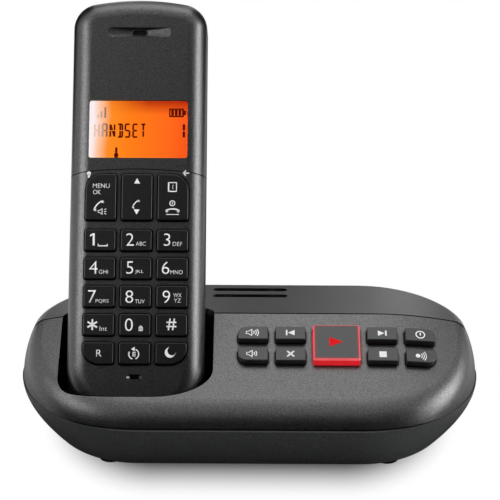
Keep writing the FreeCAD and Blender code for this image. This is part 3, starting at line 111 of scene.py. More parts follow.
def make_card():
    """White card with a satin coat, which mirrors the machine close to it and burns out to white beyond.

    Around the foot of the tub the card is painted dark, a painted shadow, where the machine's own shadow
    also falls. Polished surfaces see a painted reflection in the card: bright to the left and right of the
    machine, and dark in front of it and in a strip along its middle.
    """
    fade, end_squeeze = 33 * MM, 1.6
    coat_share, coat_roughness = 0.85, 0.05
    beside, far_beside, in_front, far_in_front, dim = 0.08, 0.15, -0.02, -0.12, 0.04
    material = new_material("white_card")
    tree = material.node_tree
    tub = frame["nodes"]["base_lower_shell"].data.vertices
    tub_bottom = min(corner.co.z for corner in tub)
    foot = [corner.co for corner in tub if corner.co.z < tub_bottom + 1.0 * MM]
    reach_x = (max(point.x for point in foot) - min(point.x for point in foot)) / 2
    reach_y = (max(point.y for point in foot) - min(point.y for point in foot)) / 2
    place = add_node(tree, "ShaderNodeTexCoord")
    spot = add_node(tree, "ShaderNodeSeparateXYZ", {"Vector": place.outputs["Object"]})
    sideways = math_node(tree, "ABSOLUTE", spot.outputs["X"])
    outward = math_node(tree, "MAXIMUM", math_node(tree, "SUBTRACT", sideways, reach_x - reach_y))
    outward = math_node(tree, "MULTIPLY", outward, end_squeeze)
    along = math_node(tree, "MULTIPLY", spot.outputs["Y"], spot.outputs["Y"])
    distance = math_node(tree, "SQRT", math_node(tree, "MULTIPLY_ADD", outward, outward, along))
    away = add_node(tree, "ShaderNodeMapRange", {
        "Value": distance, "From Min": reach_y, "From Max": reach_y + fade,
    }, interpolation_type="SMOOTHSTEP")
    # Painted shadow: the card's colour is dark grey at the foot of the tub and turns white further out.
    painted_shadow = add_node(tree, "ShaderNodeMix", {
        0: away.outputs["Result"], 6: linear("#303030"), 7: linear("#FAFAFA"),
    }, data_type="RGBA")
    paper = add_node(tree, "ShaderNodeBsdfDiffuse", {"Color": painted_shadow.outputs[2]})
    coat = add_node(tree, "ShaderNodeBsdfGlossy", {
        "Color": linear("#FFFFFF"), "Roughness": coat_roughness,
    })
    satin = add_node(tree, "ShaderNodeMixShader", {
        "Fac": coat_share, 1: paper.outputs["BSDF"], 2: coat.outputs["BSDF"],
    })
    white = add_node(tree, "ShaderNodeEmission", {"Color": linear("#FFFFFF"), "Strength": 1.0})
    near = add_node(tree, "ShaderNodeMixShader", {
        "Fac": away.outputs["Result"], 1: satin.outputs["Shader"], 2: white.outputs["Emission"],
    })
    way = add_node(tree, "ShaderNodeLightPath")
    beyond = add_node(tree, "ShaderNodeMapRange", {
        "Value": sideways, "From Min": beside, "From Max": far_beside, "To Min": dim, "To Max": 1.0,
    })
    behind = add_node(tree, "ShaderNodeMapRange", {
        "Value": spot.outputs["Y"],
        "From Min": far_in_front, "From Max": in_front, "To Min": dim, "To Max": 1.0,
    })
    # Painted reflection: reflected rays find the card glowing white beside the machine and nearly black in
    # front of it and along its middle.
    mirrored = add_node(tree, "ShaderNodeEmission", {
        "Color": linear("#FFFFFF"),
        "Strength": math_node(tree, "MULTIPLY", beyond.outputs["Result"], behind.outputs["Result"]),
    })
    seen = math_node(tree, "MAXIMUM", way.outputs["Is Camera Ray"], way.outputs["Is Transmission Ray"])
    for_camera = add_node(tree, "ShaderNodeMixShader", {
        "Fac": seen, 1: paper.outputs["BSDF"], 2: near.outputs["Shader"],
    })
    surface = add_node(tree, "ShaderNodeMixShader", {
        "Fac": way.outputs["Is Glossy Ray"],
        1: for_camera.outputs["Shader"], 2: mirrored.outputs["Emission"],
    })
    add_node(tree, "ShaderNodeOutputMaterial", {"Surface": surface.outputs["Shader"]})
    return material


def make_studio_card():
    """The card rises into a backdrop through a wide sweep, so that it has no horizon line."""
    reach, front, back, sweep, wall_tall = 4.0, 2.5, 1.2, 0.8, 3.0
    sheet = bmesh.new()
    left = sheet.verts.new((-reach, -front, 0))
    right = sheet.verts.new((reach, -front, 0))
    edge = sheet.edges.new((left, right))
    flat = bmesh.ops.extrude_edge_only(sheet, edges=[edge])["geom"]
    rim = [item for item in flat if isinstance(item, bmesh.types.BMVert)]
    bmesh.ops.translate(sheet, verts=rim, vec=(0, front + back, 0))
    rim += [item for item in flat if isinstance(item, bmesh.types.BMEdge)]
    turn = bmesh.ops.spin(
        sheet, geom=rim, cent=(0, back, sweep), axis=(1, 0, 0), angle=math.radians(90), steps=24
    )
    top = [item for item in turn["geom_last"] if isinstance(item, bmesh.types.BMEdge)]
    wall = bmesh.ops.extrude_edge_only(sheet, edges=top)["geom"]
    wall_top = [item for item in wall if isinstance(item, bmesh.types.BMVert)]
    bmesh.ops.translate(sheet, verts=wall_top, vec=(0, 0, wall_tall))
    bmesh.ops.recalc_face_normals(sheet, faces=sheet.faces)
    card = settle("studio_card", sheet, make_card())


def add_softbox(name, place, size, watts, target):
    """A white rectangular lamp of a width and a height, turned to face a point."""
    lamp = bpy.data.lights.new(name, "AREA")
    lamp.shape = "RECTANGLE"
    lamp.size, lamp.size_y = size
    lamp.energy = watts
    holder = bpy.data.objects.new(name, lamp)
    holder.location = place
    holder.rotation_euler = (Vector(target) - Vector(place)).to_track_quat("-Z", "Y").to_euler()
    bpy.context.scene.collection.objects.link(holder)


make_studio_card()
tub_low, tub_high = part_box("base_lower_shell")
half_height = 65 * MM
machine_middle = Vector(((tub_low.x + tub_high.x) / 2, (tub_low.y + tub_high.y) / 2, half_height))
add_softbox("overhead_softbox", (0.0, 0.3, 1.1), (1.1, 0.65), 3.9, machine_middle)
add_softbox("left_softbox", (-0.58, -0.46, 0.50), (0.5, 0.5), 3.7, machine_middle)
add_softbox("right_softbox", (0.84, -0.18, 0.42), (0.5, 0.5), 5.6, machine_middle)


def make_flag_velvet(name, *rays):
    """Black velvet that is there for some kinds of rays only, and is never seen by the lens itself."""
    material = new_material(name)
    tree = material.node_tree
    way = add_node(tree, "ShaderNodeLightPath")
    there = 0.0
    for ray in rays:
        there = math_node(tree, "MAXIMUM", way.outputs[ray], there)
    clear = add_node(tree, "ShaderNodeBsdfTransparent")
    velvet = add_node(tree, "ShaderNodeBsdfDiffuse", {"Color": linear("#050505")})
    shown = add_node(tree, "ShaderNodeMixShader", {
        "Fac": there, 1: clear.outputs["BSDF"], 2: velvet.outputs["BSDF"],
    })
    add_node(tree, "ShaderNodeOutputMaterial", {"Surface": shown.outputs["Shader"]})
    return material


def add_flag(name, foot, head, way, wide, material):
    """A flat black flag from the middle of its foot to the middle of its head, of a width along a way."""
    foot, head, side = Vector(foot), Vector(head), Vector(way)
    cloth = bmesh.new()
    corners = [cloth.verts.new(foot + side * half) for half in (-wide / 2, wide / 2)]
    edge = cloth.edges.new(corners)
    grown = bmesh.ops.extrude_edge_only(cloth, edges=[edge])["geom"]
    top = [item for item in grown if isinstance(item, bmesh.types.BMVert)]
    bmesh.ops.translate(cloth, verts=top, vec=head - foot)
    flag = settle(name, cloth, material)


velvet = make_flag_velvet("black_flag_velvet", "Is Glossy Ray")
add_flag("front_flag", (0, -1.0, 0.02), (0, -0.72, 1.2), (1, 0, 0), 2.6, velvet)
for name, x in (("left_flag", -0.17), ("right_flag", 0.17)):
    add_flag(name, (x, 0.32, 0.06), (x, 0.32, 0.5), (0, 1, 0), 0.5, velvet)
cutter = make_flag_velvet("black_cutter_velvet", "Is Glossy Ray", "Is Shadow Ray")
add_flag("low_flag", (-0.05, -0.09, 0.001), (-0.05, -0.095, 0.082), (1, 0, 0), 0.36, cutter)

world = bpy.data.worlds.new("studio_air")
bpy.context.scene.world = world
world.use_nodes = True
air = world.node_tree
air.nodes.clear()
ray = add_node(air, "ShaderNodeLightPath")
fill = add_node(air, "ShaderNodeBackground", {"Color": linear("#FFFFFF"), "Strength": 0.1})
page = add_node(air, "ShaderNodeBackground", {"Color": linear("#FFFFFF"), "Strength": 1.0})
mirrored = math_node(air, "MAXIMUM", ray.outputs["Is Glossy Ray"], ray.outputs["Is Transmission Ray"])
shown = math_node(air, "MAXIMUM", ray.outputs["Is Camera Ray"], mirrored)
seen = add_node(air, "ShaderNodeMixShader", {
    "Fac": shown, 1: fill.outputs["Background"], 2: page.outputs["Background"],
})
add_node(air, "ShaderNodeOutputWorld", {"Surface": seen.outputs["Shader"]})
bpy.context.scene.view_settings.view_transform = "Standard"

LENS_DISTANCE = 0.700
LENS_ELEVATION = math.radians(22.0)
LENS_AZIMUTH = math.radians(0.25)
LENS_ROLL = math.radians(0.2)
FIELD_OF_VIEW = math.radians(14.55)

lens = bpy.data.cameras.new("camera")
lens.sensor_width = 36.0
lens.lens = lens.sensor_width / (2 * math.tan(FIELD_OF_VIEW / 2))
lens.clip_start = 0.05
camera = bpy.data.objects.new("camera", lens)
toward_lens = Vector((
    math.sin(LENS_AZIMUTH) * math.cos(LENS_ELEVATION),
    -math.cos(LENS_AZIMUTH) * math.cos(LENS_ELEVATION),
    math.sin(LENS_ELEVATION),
))
turned = toward_lens.to_track_quat("Z", "Y").to_matrix().to_4x4()
camera.matrix_world = (
    Matrix.Translation(machine_middle + toward_lens * LENS_DISTANCE)
    @ turned
    @ Matrix.Rotation(LENS_ROLL, 4, "Z")
)
bpy.context.scene.collection.objects.link(camera)
bpy.context.scene.camera = camera

# The casing of the base: a tapered tub below, and two covers that meet at the crest. The covers are
# moulded in charcoal ABS and the tub in a dark grey one, from tools with a spark-eroded skin, so the
# surface is matt, with a fine even grain that breaks up every highlight. Four screws come up through
# the tub into the covers.


def make_moulded(name, hex_colour, roughness, grain_mm, grain_deep_mm, glint=0.5, sparkle=0.3, seam_shade_mm=0.0):
    """Moulded plastic: the eroded grain of the mould varies its tone and its glint, and scatters the light.

    Deep in a seam of the given reach the colour and glint are painted black, a painted shade.
    """
    seam_power = 1.6
    material = new_material(name)
    tree = material.node_tree
    place = add_node(tree, "ShaderNodeTexCoord")
    grain = add_node(tree, "ShaderNodeTexNoise", {
        "Vector": place.outputs["Object"], "Scale": 1 / (grain_mm * MM), "Detail": 3.0, "Roughness": 0.6,
    })
    share = add_node(tree, "ShaderNodeMapRange", {
        "Value": grain.outputs["Fac"], "From Min": 0.3, "From Max": 0.7,
        "To Min": 1 - sparkle, "To Max": 1 + sparkle,
    }).outputs["Result"]
    # Painted shade: colour and glint darken deep in seams and gaps.
    if seam_shade_mm:
        open_share = add_node(tree, "ShaderNodeAmbientOcclusion", {"Distance": seam_shade_mm * MM}, samples=8)
        light = math_node(tree, "POWER", open_share.outputs["AO"], seam_power)
        share = math_node(tree, "MULTIPLY", share, light)
    tone = add_node(tree, "ShaderNodeMix", {
        0: share, 6: linear("#000000"), 7: linear(hex_colour),
    }, data_type="RGBA", clamp_factor=False)
    dents = add_node(tree, "ShaderNodeBump", {
        "Height": grain.outputs["Fac"], "Strength": 0.6, "Distance": grain_deep_mm * MM,
    })
    skin = add_node(tree, "ShaderNodeBsdfPrincipled", {
        "Base Color": tone.outputs[2], "Roughness": roughness,
        "Specular IOR Level": math_node(tree, "MULTIPLY", share, glint), "Normal": dents.outputs["Normal"],
    })
    add_node(tree, "ShaderNodeOutputMaterial", {"Surface": skin.outputs["BSDF"]})
    return material


def finish_nodes(material, *names):
    """Gives one material to pieces that keep the shape of their construction."""
    for name in names:
        for place in frame["nodes"][name].material_slots:
            place.material = material


# The covers and the tub are painted black deep in their seams, a painted shade.
charcoal_abs = make_moulded(
    "charcoal_moulded_abs", "#101111", roughness=0.33, grain_mm=0.5, grain_deep_mm=0.1,
    glint=1.0, sparkle=0.36, seam_shade_mm=1.2,
)
finish_nodes(charcoal_abs, "base_fascia", "base_rear_cover")
tub_abs = make_moulded(
    "dark_grey_tub_abs", "#434444", roughness=0.4, grain_mm=0.5, grain_deep_mm=0.1,
    glint=0.4, sparkle=0.25, seam_shade_mm=1.2,
)
finish_nodes(tub_abs, "base_lower_shell")

# The cradle: a separate black liner with a fine matt skin, which fits close under the two covers. Two
# nickel-plated charging pins stand up through its floor and meet the handset's contact plates.


def make_metal(name, hex_colour, roughness, line_mm):
    """Drawn or plated metal: fine lines along the piece vary its polish."""
    material = new_material(name)
    tree = material.node_tree
    place = add_node(tree, "ShaderNodeTexCoord")
    lines = add_node(tree, "ShaderNodeTexNoise", {
        "Vector": place.outputs["Object"], "Scale": 1 / (line_mm * MM), "Detail": 4.0, "Distortion": 0.6,
    })
    polish = add_node(tree, "ShaderNodeMapRange", {
        "Value": lines.outputs["Fac"], "To Min": roughness * 0.6, "To Max": roughness * 1.5,
    })
    metal = add_node(tree, "ShaderNodeBsdfPrincipled", {
        "Base Color": linear(hex_colour), "Metallic": 1.0, "Roughness": polish.outputs["Result"],
    })
    add_node(tree, "ShaderNodeOutputMaterial", {"Surface": metal.outputs["BSDF"]})
    return material


black_abs = make_moulded(
    "black_liner_abs", "#0B0B0C", roughness=0.5, grain_mm=0.35, grain_deep_mm=0.03, glint=0.3
)
finish_nodes(black_abs, "handset_cradle")
nickel = make_metal("nickel_plating", "#C9C4B8", roughness=0.25, line_mm=0.4)
finish_nodes(nickel, "charging_pins", "handset_contacts", "battery_contacts")

# The base's works: a small loudspeaker under the rear slots, with a pressed steel basket and a paper
# cone, the two circuit boards, the silicone mat under the keys, an aerial strip of plated steel, and
# two nylon sockets in the rear wall. The boards are glass fibre under green solder mask.


def make_board():
    """Green solder mask over copper tracks, which show through it as paler lines."""
    material = new_material("green_circuit_board")
    tree = material.node_tree
    place = add_node(tree, "ShaderNodeTexCoord")
    tracks = add_node(tree, "ShaderNodeTexBrick", {
        "Vector": place.outputs["Object"], "Scale": 1 / (8 * MM), "Mortar Size": 0.03,
        "Color1": linear("#14502E"), "Color2": linear("#18582F"), "Mortar": linear("#3C8A50"),
    })
    mask = add_node(tree, "ShaderNodeBsdfPrincipled", {
        "Base Color": tracks.outputs["Color"], "Roughness": 0.35,
    })
    add_node(tree, "ShaderNodeOutputMaterial", {"Surface": mask.outputs["BSDF"]})
    return material


finish_nodes(make_board(), "keypad_board", "main_board", "handset_board")
silicone = make_moulded("silicone_rubber", "#8C8E90", roughness=0.7, grain_mm=0.3, grain_deep_mm=0.01)
finish_nodes(silicone, "base_key_mat", "handset_key_mat")
nylon = make_moulded("black_nylon", "#141415", roughness=0.45, grain_mm=0.3, grain_deep_mm=0.02)
finish_nodes(nylon, "power_socket", "line_socket")
cone_paper = make_moulded(
    "black_cone_paper", "#1C1B1A", roughness=0.85, grain_mm=0.6, grain_deep_mm=0.06, glint=0.2
)
finish_nodes(cone_paper, "loudspeaker_cone")
steel = make_metal("zinc_plated_steel", "#9DA0A2", roughness=0.4, line_mm=0.6)
finish_nodes(steel, "loudspeaker_frame", "base_antenna", "base_screws")

# The four feet: round pads of soft black rubber, moulded apart and pressed into shallow pockets under
# the tub. They stand the machine clear of the table, with a thin dark gap all round.
foot_rubber = make_moulded(
    "black_foot_rubber", "#101010", roughness=0.8, grain_mm=0.25, grain_deep_mm=0.02, glint=0.3
)
finish_nodes(foot_rubber, "rubber_feet")

# The eight small keys of the base: smooth dark grey caps, moulded with their flanges and stems, which
# reach down to the mat. Their marks are pad-printed in white ink.


def press_axis(key):
    """The way a key goes in, from its joint."""
    return Vector(next(joint["axis"] for joint in frame["joints"] if joint["child"] == key)).normalized()


def face_place(node, outward):
    """A frame on the flat top of a piece: x to the right, y up its slope and z outward."""
    across = Vector((0, outward.z, -outward.y)).normalized()
    right = across.cross(outward)
    points = [corner.co for corner in frame["nodes"][node].data.vertices]
    height = max(point.dot(outward) for point in points)
    top = [point for point in points if point.dot(outward) > height - 0.02 * MM]
    middle = outward * height
    for way in (right, across):
        reach = [point.dot(way) for point in top]
        middle += way * (min(reach) + max(reach)) / 2
    place = Matrix((right, across, outward)).transposed().to_4x4()
    place.translation = middle
    return place


def draw_bar(sheet, x, y, width, tall, turn=0.0):
    """A filled rectangle on a flat sheet, in millimetres and degrees."""
    spot = Matrix.Translation((x, y, 0)) @ Matrix.Rotation(math.radians(turn), 4, "Z")
    spot = spot @ Matrix.Diagonal((width, tall, 1, 1))
    bmesh.ops.create_grid(sheet, x_segments=1, y_segments=1, size=0.5, matrix=spot)


def draw_disc(sheet, x, y, radius):
    """A filled disc."""
    spot = Matrix.Translation((x, y, 0))
    bmesh.ops.create_circle(sheet, cap_ends=True, radius=radius, segments=24, matrix=spot)


def draw_arc(sheet, x, y, radius, stroke, first, last):
    """A stroke bent round a centre, from one angle to another."""
    start = Matrix.Rotation(math.radians(first), 3, "Z")
    ends = [
        sheet.verts.new(Vector((x, y, 0)) + start @ Vector((radius + side * stroke / 2, 0, 0)))
        for side in (-1, 1)
    ]
    edge = sheet.edges.new(ends)
    bmesh.ops.spin(
        sheet, geom=ends + [edge], cent=(x, y, 0), axis=(0, 0, 1), angle=math.radians(last - first),
        steps=max(4, int(abs(last - first) / 12)),
    )


def draw_shape(sheet, *corners):
    """A filled shape with straight sides."""
    sheet.faces.new([sheet.verts.new((x, y, 0)) for x, y in corners])


def draw_line(sheet, x1, y1, x2, y2, stroke):
    """A straight stroke with round ends."""
    length = math.hypot(x2 - x1, y2 - y1)
    turn = math.degrees(math.atan2(y2 - y1, x2 - x1))
    draw_bar(sheet, (x1 + x2) / 2, (y1 + y2) / 2, length, stroke, turn)
    draw_disc(sheet, x1, y1, stroke / 2)
    draw_disc(sheet, x2, y2, stroke / 2)


def draw_words(sheet, words, x, y, tall, wide=None):
    """Plain sans-serif characters of a height, and of a width if one is given, slimmer than the font's."""
    thinner = 0.008
    curve = bpy.data.curves.new("words", "FONT")
    curve.body = words
    curve.resolution_u = 4
    curve.offset = -thinner
    holder = bpy.data.objects.new("words", curve)
    bpy.context.scene.collection.objects.link(holder)
    flat = bpy.data.meshes.new_from_object(holder.evaluated_get(bpy.context.evaluated_depsgraph_get()))
    xs = [corner.co.x for corner in flat.vertices]
    ys = [corner.co.y for corner in flat.vertices]
    grow_y = tall / (max(ys) - min(ys))
    grow_x = wide / (max(xs) - min(xs)) if wide else grow_y
    flat.transform(
        Matrix.Translation((x, y, 0)) @ Matrix.Diagonal((grow_x, grow_y, 1, 1))
        @ Matrix.Translation((-(min(xs) + max(xs)) / 2, -(min(ys) + max(ys)) / 2, 0))
    )
    sheet.from_mesh(flat)
    bpy.data.objects.remove(holder)
    bpy.data.curves.remove(curve)
    bpy.data.meshes.remove(flat)


def lay_film(name, sheet, place, material, body, lift=0.03):
    """Lays a drawn sheet on a face, as a thin film that stands out a hair and moves with its piece."""
    film = 0.05
    sheet.normal_update()
    bmesh.ops.reverse_faces(sheet, faces=[face for face in sheet.faces if face.normal.z < 0])
    sheet.transform(place @ Matrix.Translation((0, 0, lift * MM)) @ Matrix.Scale(MM, 4))
    piece = settle(name, sheet, material)
    thickness = piece.modifiers.new("film", "SOLIDIFY")
    thickness.thickness = film * MM
    thickness.offset = -1.0
    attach(piece, body)


def draw_loudspeaker(sheet, x, y, tall, waves):
    """A small loudspeaker in outline, with sound waves to its right."""
    stroke, magnet, mouth = tall * 0.11, tall * 0.16, tall * 0.45
    back, throat = x - tall * 0.62, x - tall * 0.38
    draw_line(sheet, back, y + magnet, back, y - magnet, stroke)
    for side in (-1, 1):
        draw_line(sheet, back, y + side * magnet, throat, y + side * magnet, stroke)
        draw_line(sheet, throat, y + side * magnet, x, y + side * mouth, stroke)
    draw_line(sheet, x, y + mouth, x, y - mouth, stroke)
    for wave in range(waves):
        draw_arc(sheet, x - 0.1 * tall, y, tall * (0.36 + 0.24 * wave), stroke, -36, 36)


def draw_skip(sheet, x, y, side):
    """A solid arrowhead that points at an upright bar, to the right for side 1 and the left for -1."""
    draw_shape(sheet, (x - side * 1.5, y + 1.2), (x - side * 1.5, y - 1.2), (x + side * 0.9, y))
    draw_bar(sheet, x + side * 1.35, y, 0.6, 2.4)


def draw_base_mark(sheet, key):
    """The mark on one of the base's small keys."""
    if key == "volume_up_key":
        draw_loudspeaker(sheet, -0.4, 0, 3.2, 3)
    elif key == "volume_down_key":
        draw_loudspeaker(sheet, -0.2, 0, 3.2, 2)
    elif key == "previous_key":
        draw_skip(sheet, 0, 0, -1)
    elif key == "next_key":
        draw_skip(sheet, 0, 0, 1)
    elif key == "delete_key":
        for side in (-1, 1):
            draw_line(sheet, -1.05, -side * 1.05, 1.05, side * 1.05, 0.7)
    elif key == "stop_key":
        draw_bar(sheet, 0, 0, 2.6, 2.6)
    elif key == "power_key":
        draw_arc(sheet, 0, 0, 1.55, 0.42, 0, 360)
        draw_bar(sheet, 0, 0.25, 0.45, 1.3)
    else:
        draw_disc(sheet, -1.3, -0.1, 0.85)
        for wave in range(3):
            draw_arc(sheet, -1.3, -0.1, 1.5 + 0.75 * wave, 0.3, -40, 40)


# Deep in the gaps round the base's keys, colour and glint are painted black, a painted shade.
grey_key = make_moulded(
    "dark_grey_key_abs", "#2A2B2B", roughness=0.4, grain_mm=0.4, grain_deep_mm=0.02,
    glint=0.55, sparkle=0.1, seam_shade_mm=0.8,
)
white_ink = make_moulded(
    "white_pad_ink", "#F4F4F2", roughness=0.5, grain_mm=0.2, grain_deep_mm=0.003, sparkle=0.03
)
for key in (
    "volume_up_key", "volume_down_key", "previous_key", "delete_key",
    "next_key", "stop_key", "power_key", "locate_key",
):
    finish_nodes(grey_key, key)
    sheet = bmesh.new()
    draw_base_mark(sheet, key)
    lay_film(key.replace("_key", "_mark"), sheet, face_place(key, -press_axis(key)), white_ink, key)

# The play key: a skirt of red translucent polycarbonate, which carries a dark cap with a red arrowhead.
# The skirt glows with painted light, by which way each face is turned, and its rims hold a painted
# highlight.


def make_painted_glow_red(outward):
    """Red translucent polycarbonate with painted light: dark on top, red at its sides, pale edges as a
    painted highlight.
    """
    material = new_material("red_polycarbonate_painted_glow")
    tree = material.node_tree
    place = add_node(tree, "ShaderNodeTexCoord")
    spread = add_node(tree, "ShaderNodeTexNoise", {
        "Vector": place.outputs["Object"], "Scale": 1 / (4 * MM), "Detail": 1.0,
    })
    facing = add_node(tree, "ShaderNodeVectorMath", {
        0: place.outputs["Normal"], 1: outward,
    }, operation="DOT_PRODUCT")
    # Painted light: the glow's colour follows which way each face is turned, dark on top, red at the sides
    # and pale at the rims.
    painted_facing_light = add_node(tree, "ShaderNodeValToRGB", {"Fac": facing.outputs["Value"]})
    stops = painted_facing_light.color_ramp.elements
    stops[0].color, stops[0].position = linear("#E2262E"), 0.3
    stops[1].color, stops[1].position = linear("#5E1014"), 0.95
    stops.new(0.6).color = linear("#FF6A6E")
    stops.new(0.82).color = linear("#FF6A6E")
    glow = add_node(tree, "ShaderNodeMapRange", {
        "Value": spread.outputs["Fac"], "To Min": 0.6, "To Max": 0.95,
    })
    plastic = add_node(tree, "ShaderNodeBsdfPrincipled", {
        "Base Color": linear("#400A0C"), "Roughness": 0.25, "Specular IOR Level": 0.4,
        "Emission Color": painted_facing_light.outputs["Color"], "Emission Strength": glow.outputs["Result"],
    })
    add_node(tree, "ShaderNodeOutputMaterial", {"Surface": plastic.outputs["BSDF"]})
    return material


finish_nodes(make_painted_glow_red(-press_axis("play_key")), "play_key_skirt")
finish_nodes(grey_key, "play_key_cap")
sheet = bmesh.new()
draw_shape(sheet, (-2.6, 2.2), (-2.6, -2.2), (2.3, 0))
red_ink = make_moulded(
    "red_pad_ink", "#E8161C", roughness=0.6, grain_mm=0.2, grain_deep_mm=0.003, glint=0.1
)
lay_film("play_mark", sheet, face_place("play_key_cap", -press_axis("play_key")), red_ink, "play_key")

# The handset's casings: a keypad cover and a display cover in front, parted by an arched seam, and
# the back shell with its battery cover, all in the same charcoal ABS as the base's covers. Inside are
# the earpiece and the microphone, faced with black cloth, and a ringer in a steel can.
finish_nodes(
    charcoal_abs, "handset_keypad_cover", "handset_display_cover", "handset_back_shell", "battery_cover"
)
finish_nodes(steel, "ringer_speaker")
speaker_cloth = make_moulded(
    "black_speaker_cloth", "#0E0E0F", roughness=0.9, grain_mm=0.4, grain_deep_mm=0.08, glint=0.2
)
finish_nodes(speaker_cloth, "earpiece_speaker", "microphone")

# The display: a liquid crystal module lit orange, behind a clear acrylic window with a polished edge.
# Its left edge is painted white as a painted glare, and its top dark red as a painted shadow. Its dark
# segments lie on the module's front glass, and the window is let into the display cover.
handset_out = -press_axis("digit_5_key")


def make_backlight():
    """Amber and deep orange light, white at the left as a painted glare, dark red on top as a painted
    shadow.
    """
    wander, ramp_offset, shadow_from, shadow_at = 3.0 * MM, 1.5 * MM, 5.5 * MM, 0.8 * MM
    material = new_material("orange_backlight")
    tree = material.node_tree
    window_low, window_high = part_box("display_module")
    place = add_node(tree, "ShaderNodeTexCoord")
    spot = add_node(tree, "ShaderNodeSeparateXYZ", {"Vector": place.outputs["Object"]})
    drift = add_node(tree, "ShaderNodeTexNoise", {
        "Vector": place.outputs["Object"], "Scale": 1 / (14 * MM), "Detail": 1.0,
    })
    along = add_node(tree, "ShaderNodeMapRange", {
        "Value": math_node(tree, "MULTIPLY_ADD", drift.outputs["Fac"], wander, spot.outputs["X"]),
        "From Min": window_low.x + ramp_offset, "From Max": window_high.x + ramp_offset,
    })
    ramp = add_node(tree, "ShaderNodeValToRGB", {"Fac": along.outputs["Result"]})
    stops = ramp.color_ramp.elements
    # Painted glare: the ramp starts white at the left edge.
    stops[0].color, stops[0].position = linear("#F4E9EA"), 0.06
    stops[1].color = linear("#F0501A")
    for position, hex_colour in ((0.12, "#F6C4A4"), (0.22, "#F68A24"), (0.4, "#F97C18"), (0.8, "#F9661A")):
        stops.new(position).color = linear(hex_colour)
    pane_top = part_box("display_window")[1].z
    # Painted shadow: dark red along the top, away from the painted glare.
    top_shadow_share = add_node(tree, "ShaderNodeMapRange", {
        "Value": spot.outputs["Z"], "From Min": pane_top - shadow_from, "From Max": pane_top - shadow_at,
    })
    right_share = add_node(tree, "ShaderNodeMapRange", {
        "Value": along.outputs["Result"], "From Min": 0.15, "From Max": 0.6,
    })
    tint = add_node(tree, "ShaderNodeMix", {
        0: math_node(tree, "MULTIPLY", top_shadow_share.outputs["Result"], right_share.outputs["Result"]),
        6: ramp.outputs["Color"], 7: linear("#A81E08"),
    }, data_type="RGBA")
    glass = add_node(tree, "ShaderNodeBsdfPrincipled", {
        "Base Color": linear("#301004"), "Roughness": 0.3, "Specular IOR Level": 0.0,
        "Emission Color": tint.outputs[2], "Emission Strength": 1.08,
    })
    add_node(tree, "ShaderNodeOutputMaterial", {"Surface": glass.outputs["BSDF"]})
    return material


def make_liquid_crystal():
    """Switched segments: nearly black with the light behind them, and paler at the left as a painted glare.
    """
    material = new_material("dark_liquid_crystal")
    tree = material.node_tree
    window_low, window_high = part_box("display_module")
    place = add_node(tree, "ShaderNodeTexCoord")
    spot = add_node(tree, "ShaderNodeSeparateXYZ", {"Vector": place.outputs["Object"]})
    along = add_node(tree, "ShaderNodeMapRange", {
        "Value": spot.outputs["X"], "From Min": window_low.x, "From Max": window_high.x,
    })
    ramp = add_node(tree, "ShaderNodeValToRGB", {"Fac": along.outputs["Result"]})
    stops = ramp.color_ramp.elements
    # Painted glare: the segments are pale at the left and dark red beyond.
    stops[0].color, stops[0].position = linear("#ECC8B6"), 0.1
    stops[1].color, stops[1].position = linear("#560C02"), 0.22
    film = add_node(tree, "ShaderNodeBsdfPrincipled", {
        "Base Color": linear("#100301"), "Roughness": 0.6, "Specular IOR Level": 0.0,
        "Emission Color": ramp.outputs["Color"], "Emission Strength": 1.0,
    })
    add_node(tree, "ShaderNodeOutputMaterial", {"Surface": film.outputs["BSDF"]})
    return material


def make_clear_acrylic():
    """Clear acrylic with a faint ripple from the mould, and a coat against glare, so it mirrors little."""
    material = new_material("clear_acrylic")
    tree = material.node_tree
    place = add_node(tree, "ShaderNodeTexCoord")
    ripple = add_node(tree, "ShaderNodeTexNoise", {
        "Vector": place.outputs["Object"], "Scale": 1 / (6 * MM), "Detail": 0.0,
    })
    polish = add_node(tree, "ShaderNodeMapRange", {
        "Value": ripple.outputs["Fac"], "To Min": 0.0, "To Max": 0.03,
    })
    acrylic = add_node(tree, "ShaderNodeBsdfPrincipled", {
        "Base Color": linear("#FFFFFF"), "Transmission Weight": 1.0, "IOR": 1.25,
        "Roughness": polish.outputs["Result"],
    })
    add_node(tree, "ShaderNodeOutputMaterial", {"Surface": acrylic.outputs["BSDF"]})
    return material


def make_window_pane():
    """The clear pane: a plate with round corners and a polished edge, set into the display cover."""
    wide, tall, corner, thick, edge = 35.2, 20.9, 0.9, 2.3, 0.3
    outline = bmesh.new()
    draw_bar(outline, 0, 0, wide, tall)
    bmesh.ops.bevel(
        outline, geom=outline.verts[:], offset=corner, segments=6, profile=0.5,
        affect="VERTICES", material=-1,
    )
    bmesh.ops.reverse_faces(outline, faces=[face for face in outline.faces if face.normal.z > 0])
    grown = bmesh.ops.extrude_face_region(outline, geom=outline.faces[:])["geom"]
    top = [item for item in grown if isinstance(item, bmesh.types.BMVert)]
    bmesh.ops.translate(outline, verts=top, vec=(0, 0, thick))
    bmesh.ops.recalc_face_normals(outline, faces=outline.faces)
    rim = [side for side in outline.edges if all(corner.co.z > thick / 2 for corner in side.verts)]
    bmesh.ops.bevel(outline, geom=rim, offset=edge, segments=3, profile=0.5, affect="EDGES", material=-1)
    place = face_place("display_window", handset_out)
    outline.transform(place @ Matrix.Scale(MM, 4) @ Matrix.Translation((0, 0, -thick)))
    pane = settle("clear_window", outline, make_clear_acrylic())
    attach(pane, "handset")
    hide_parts("display_window")


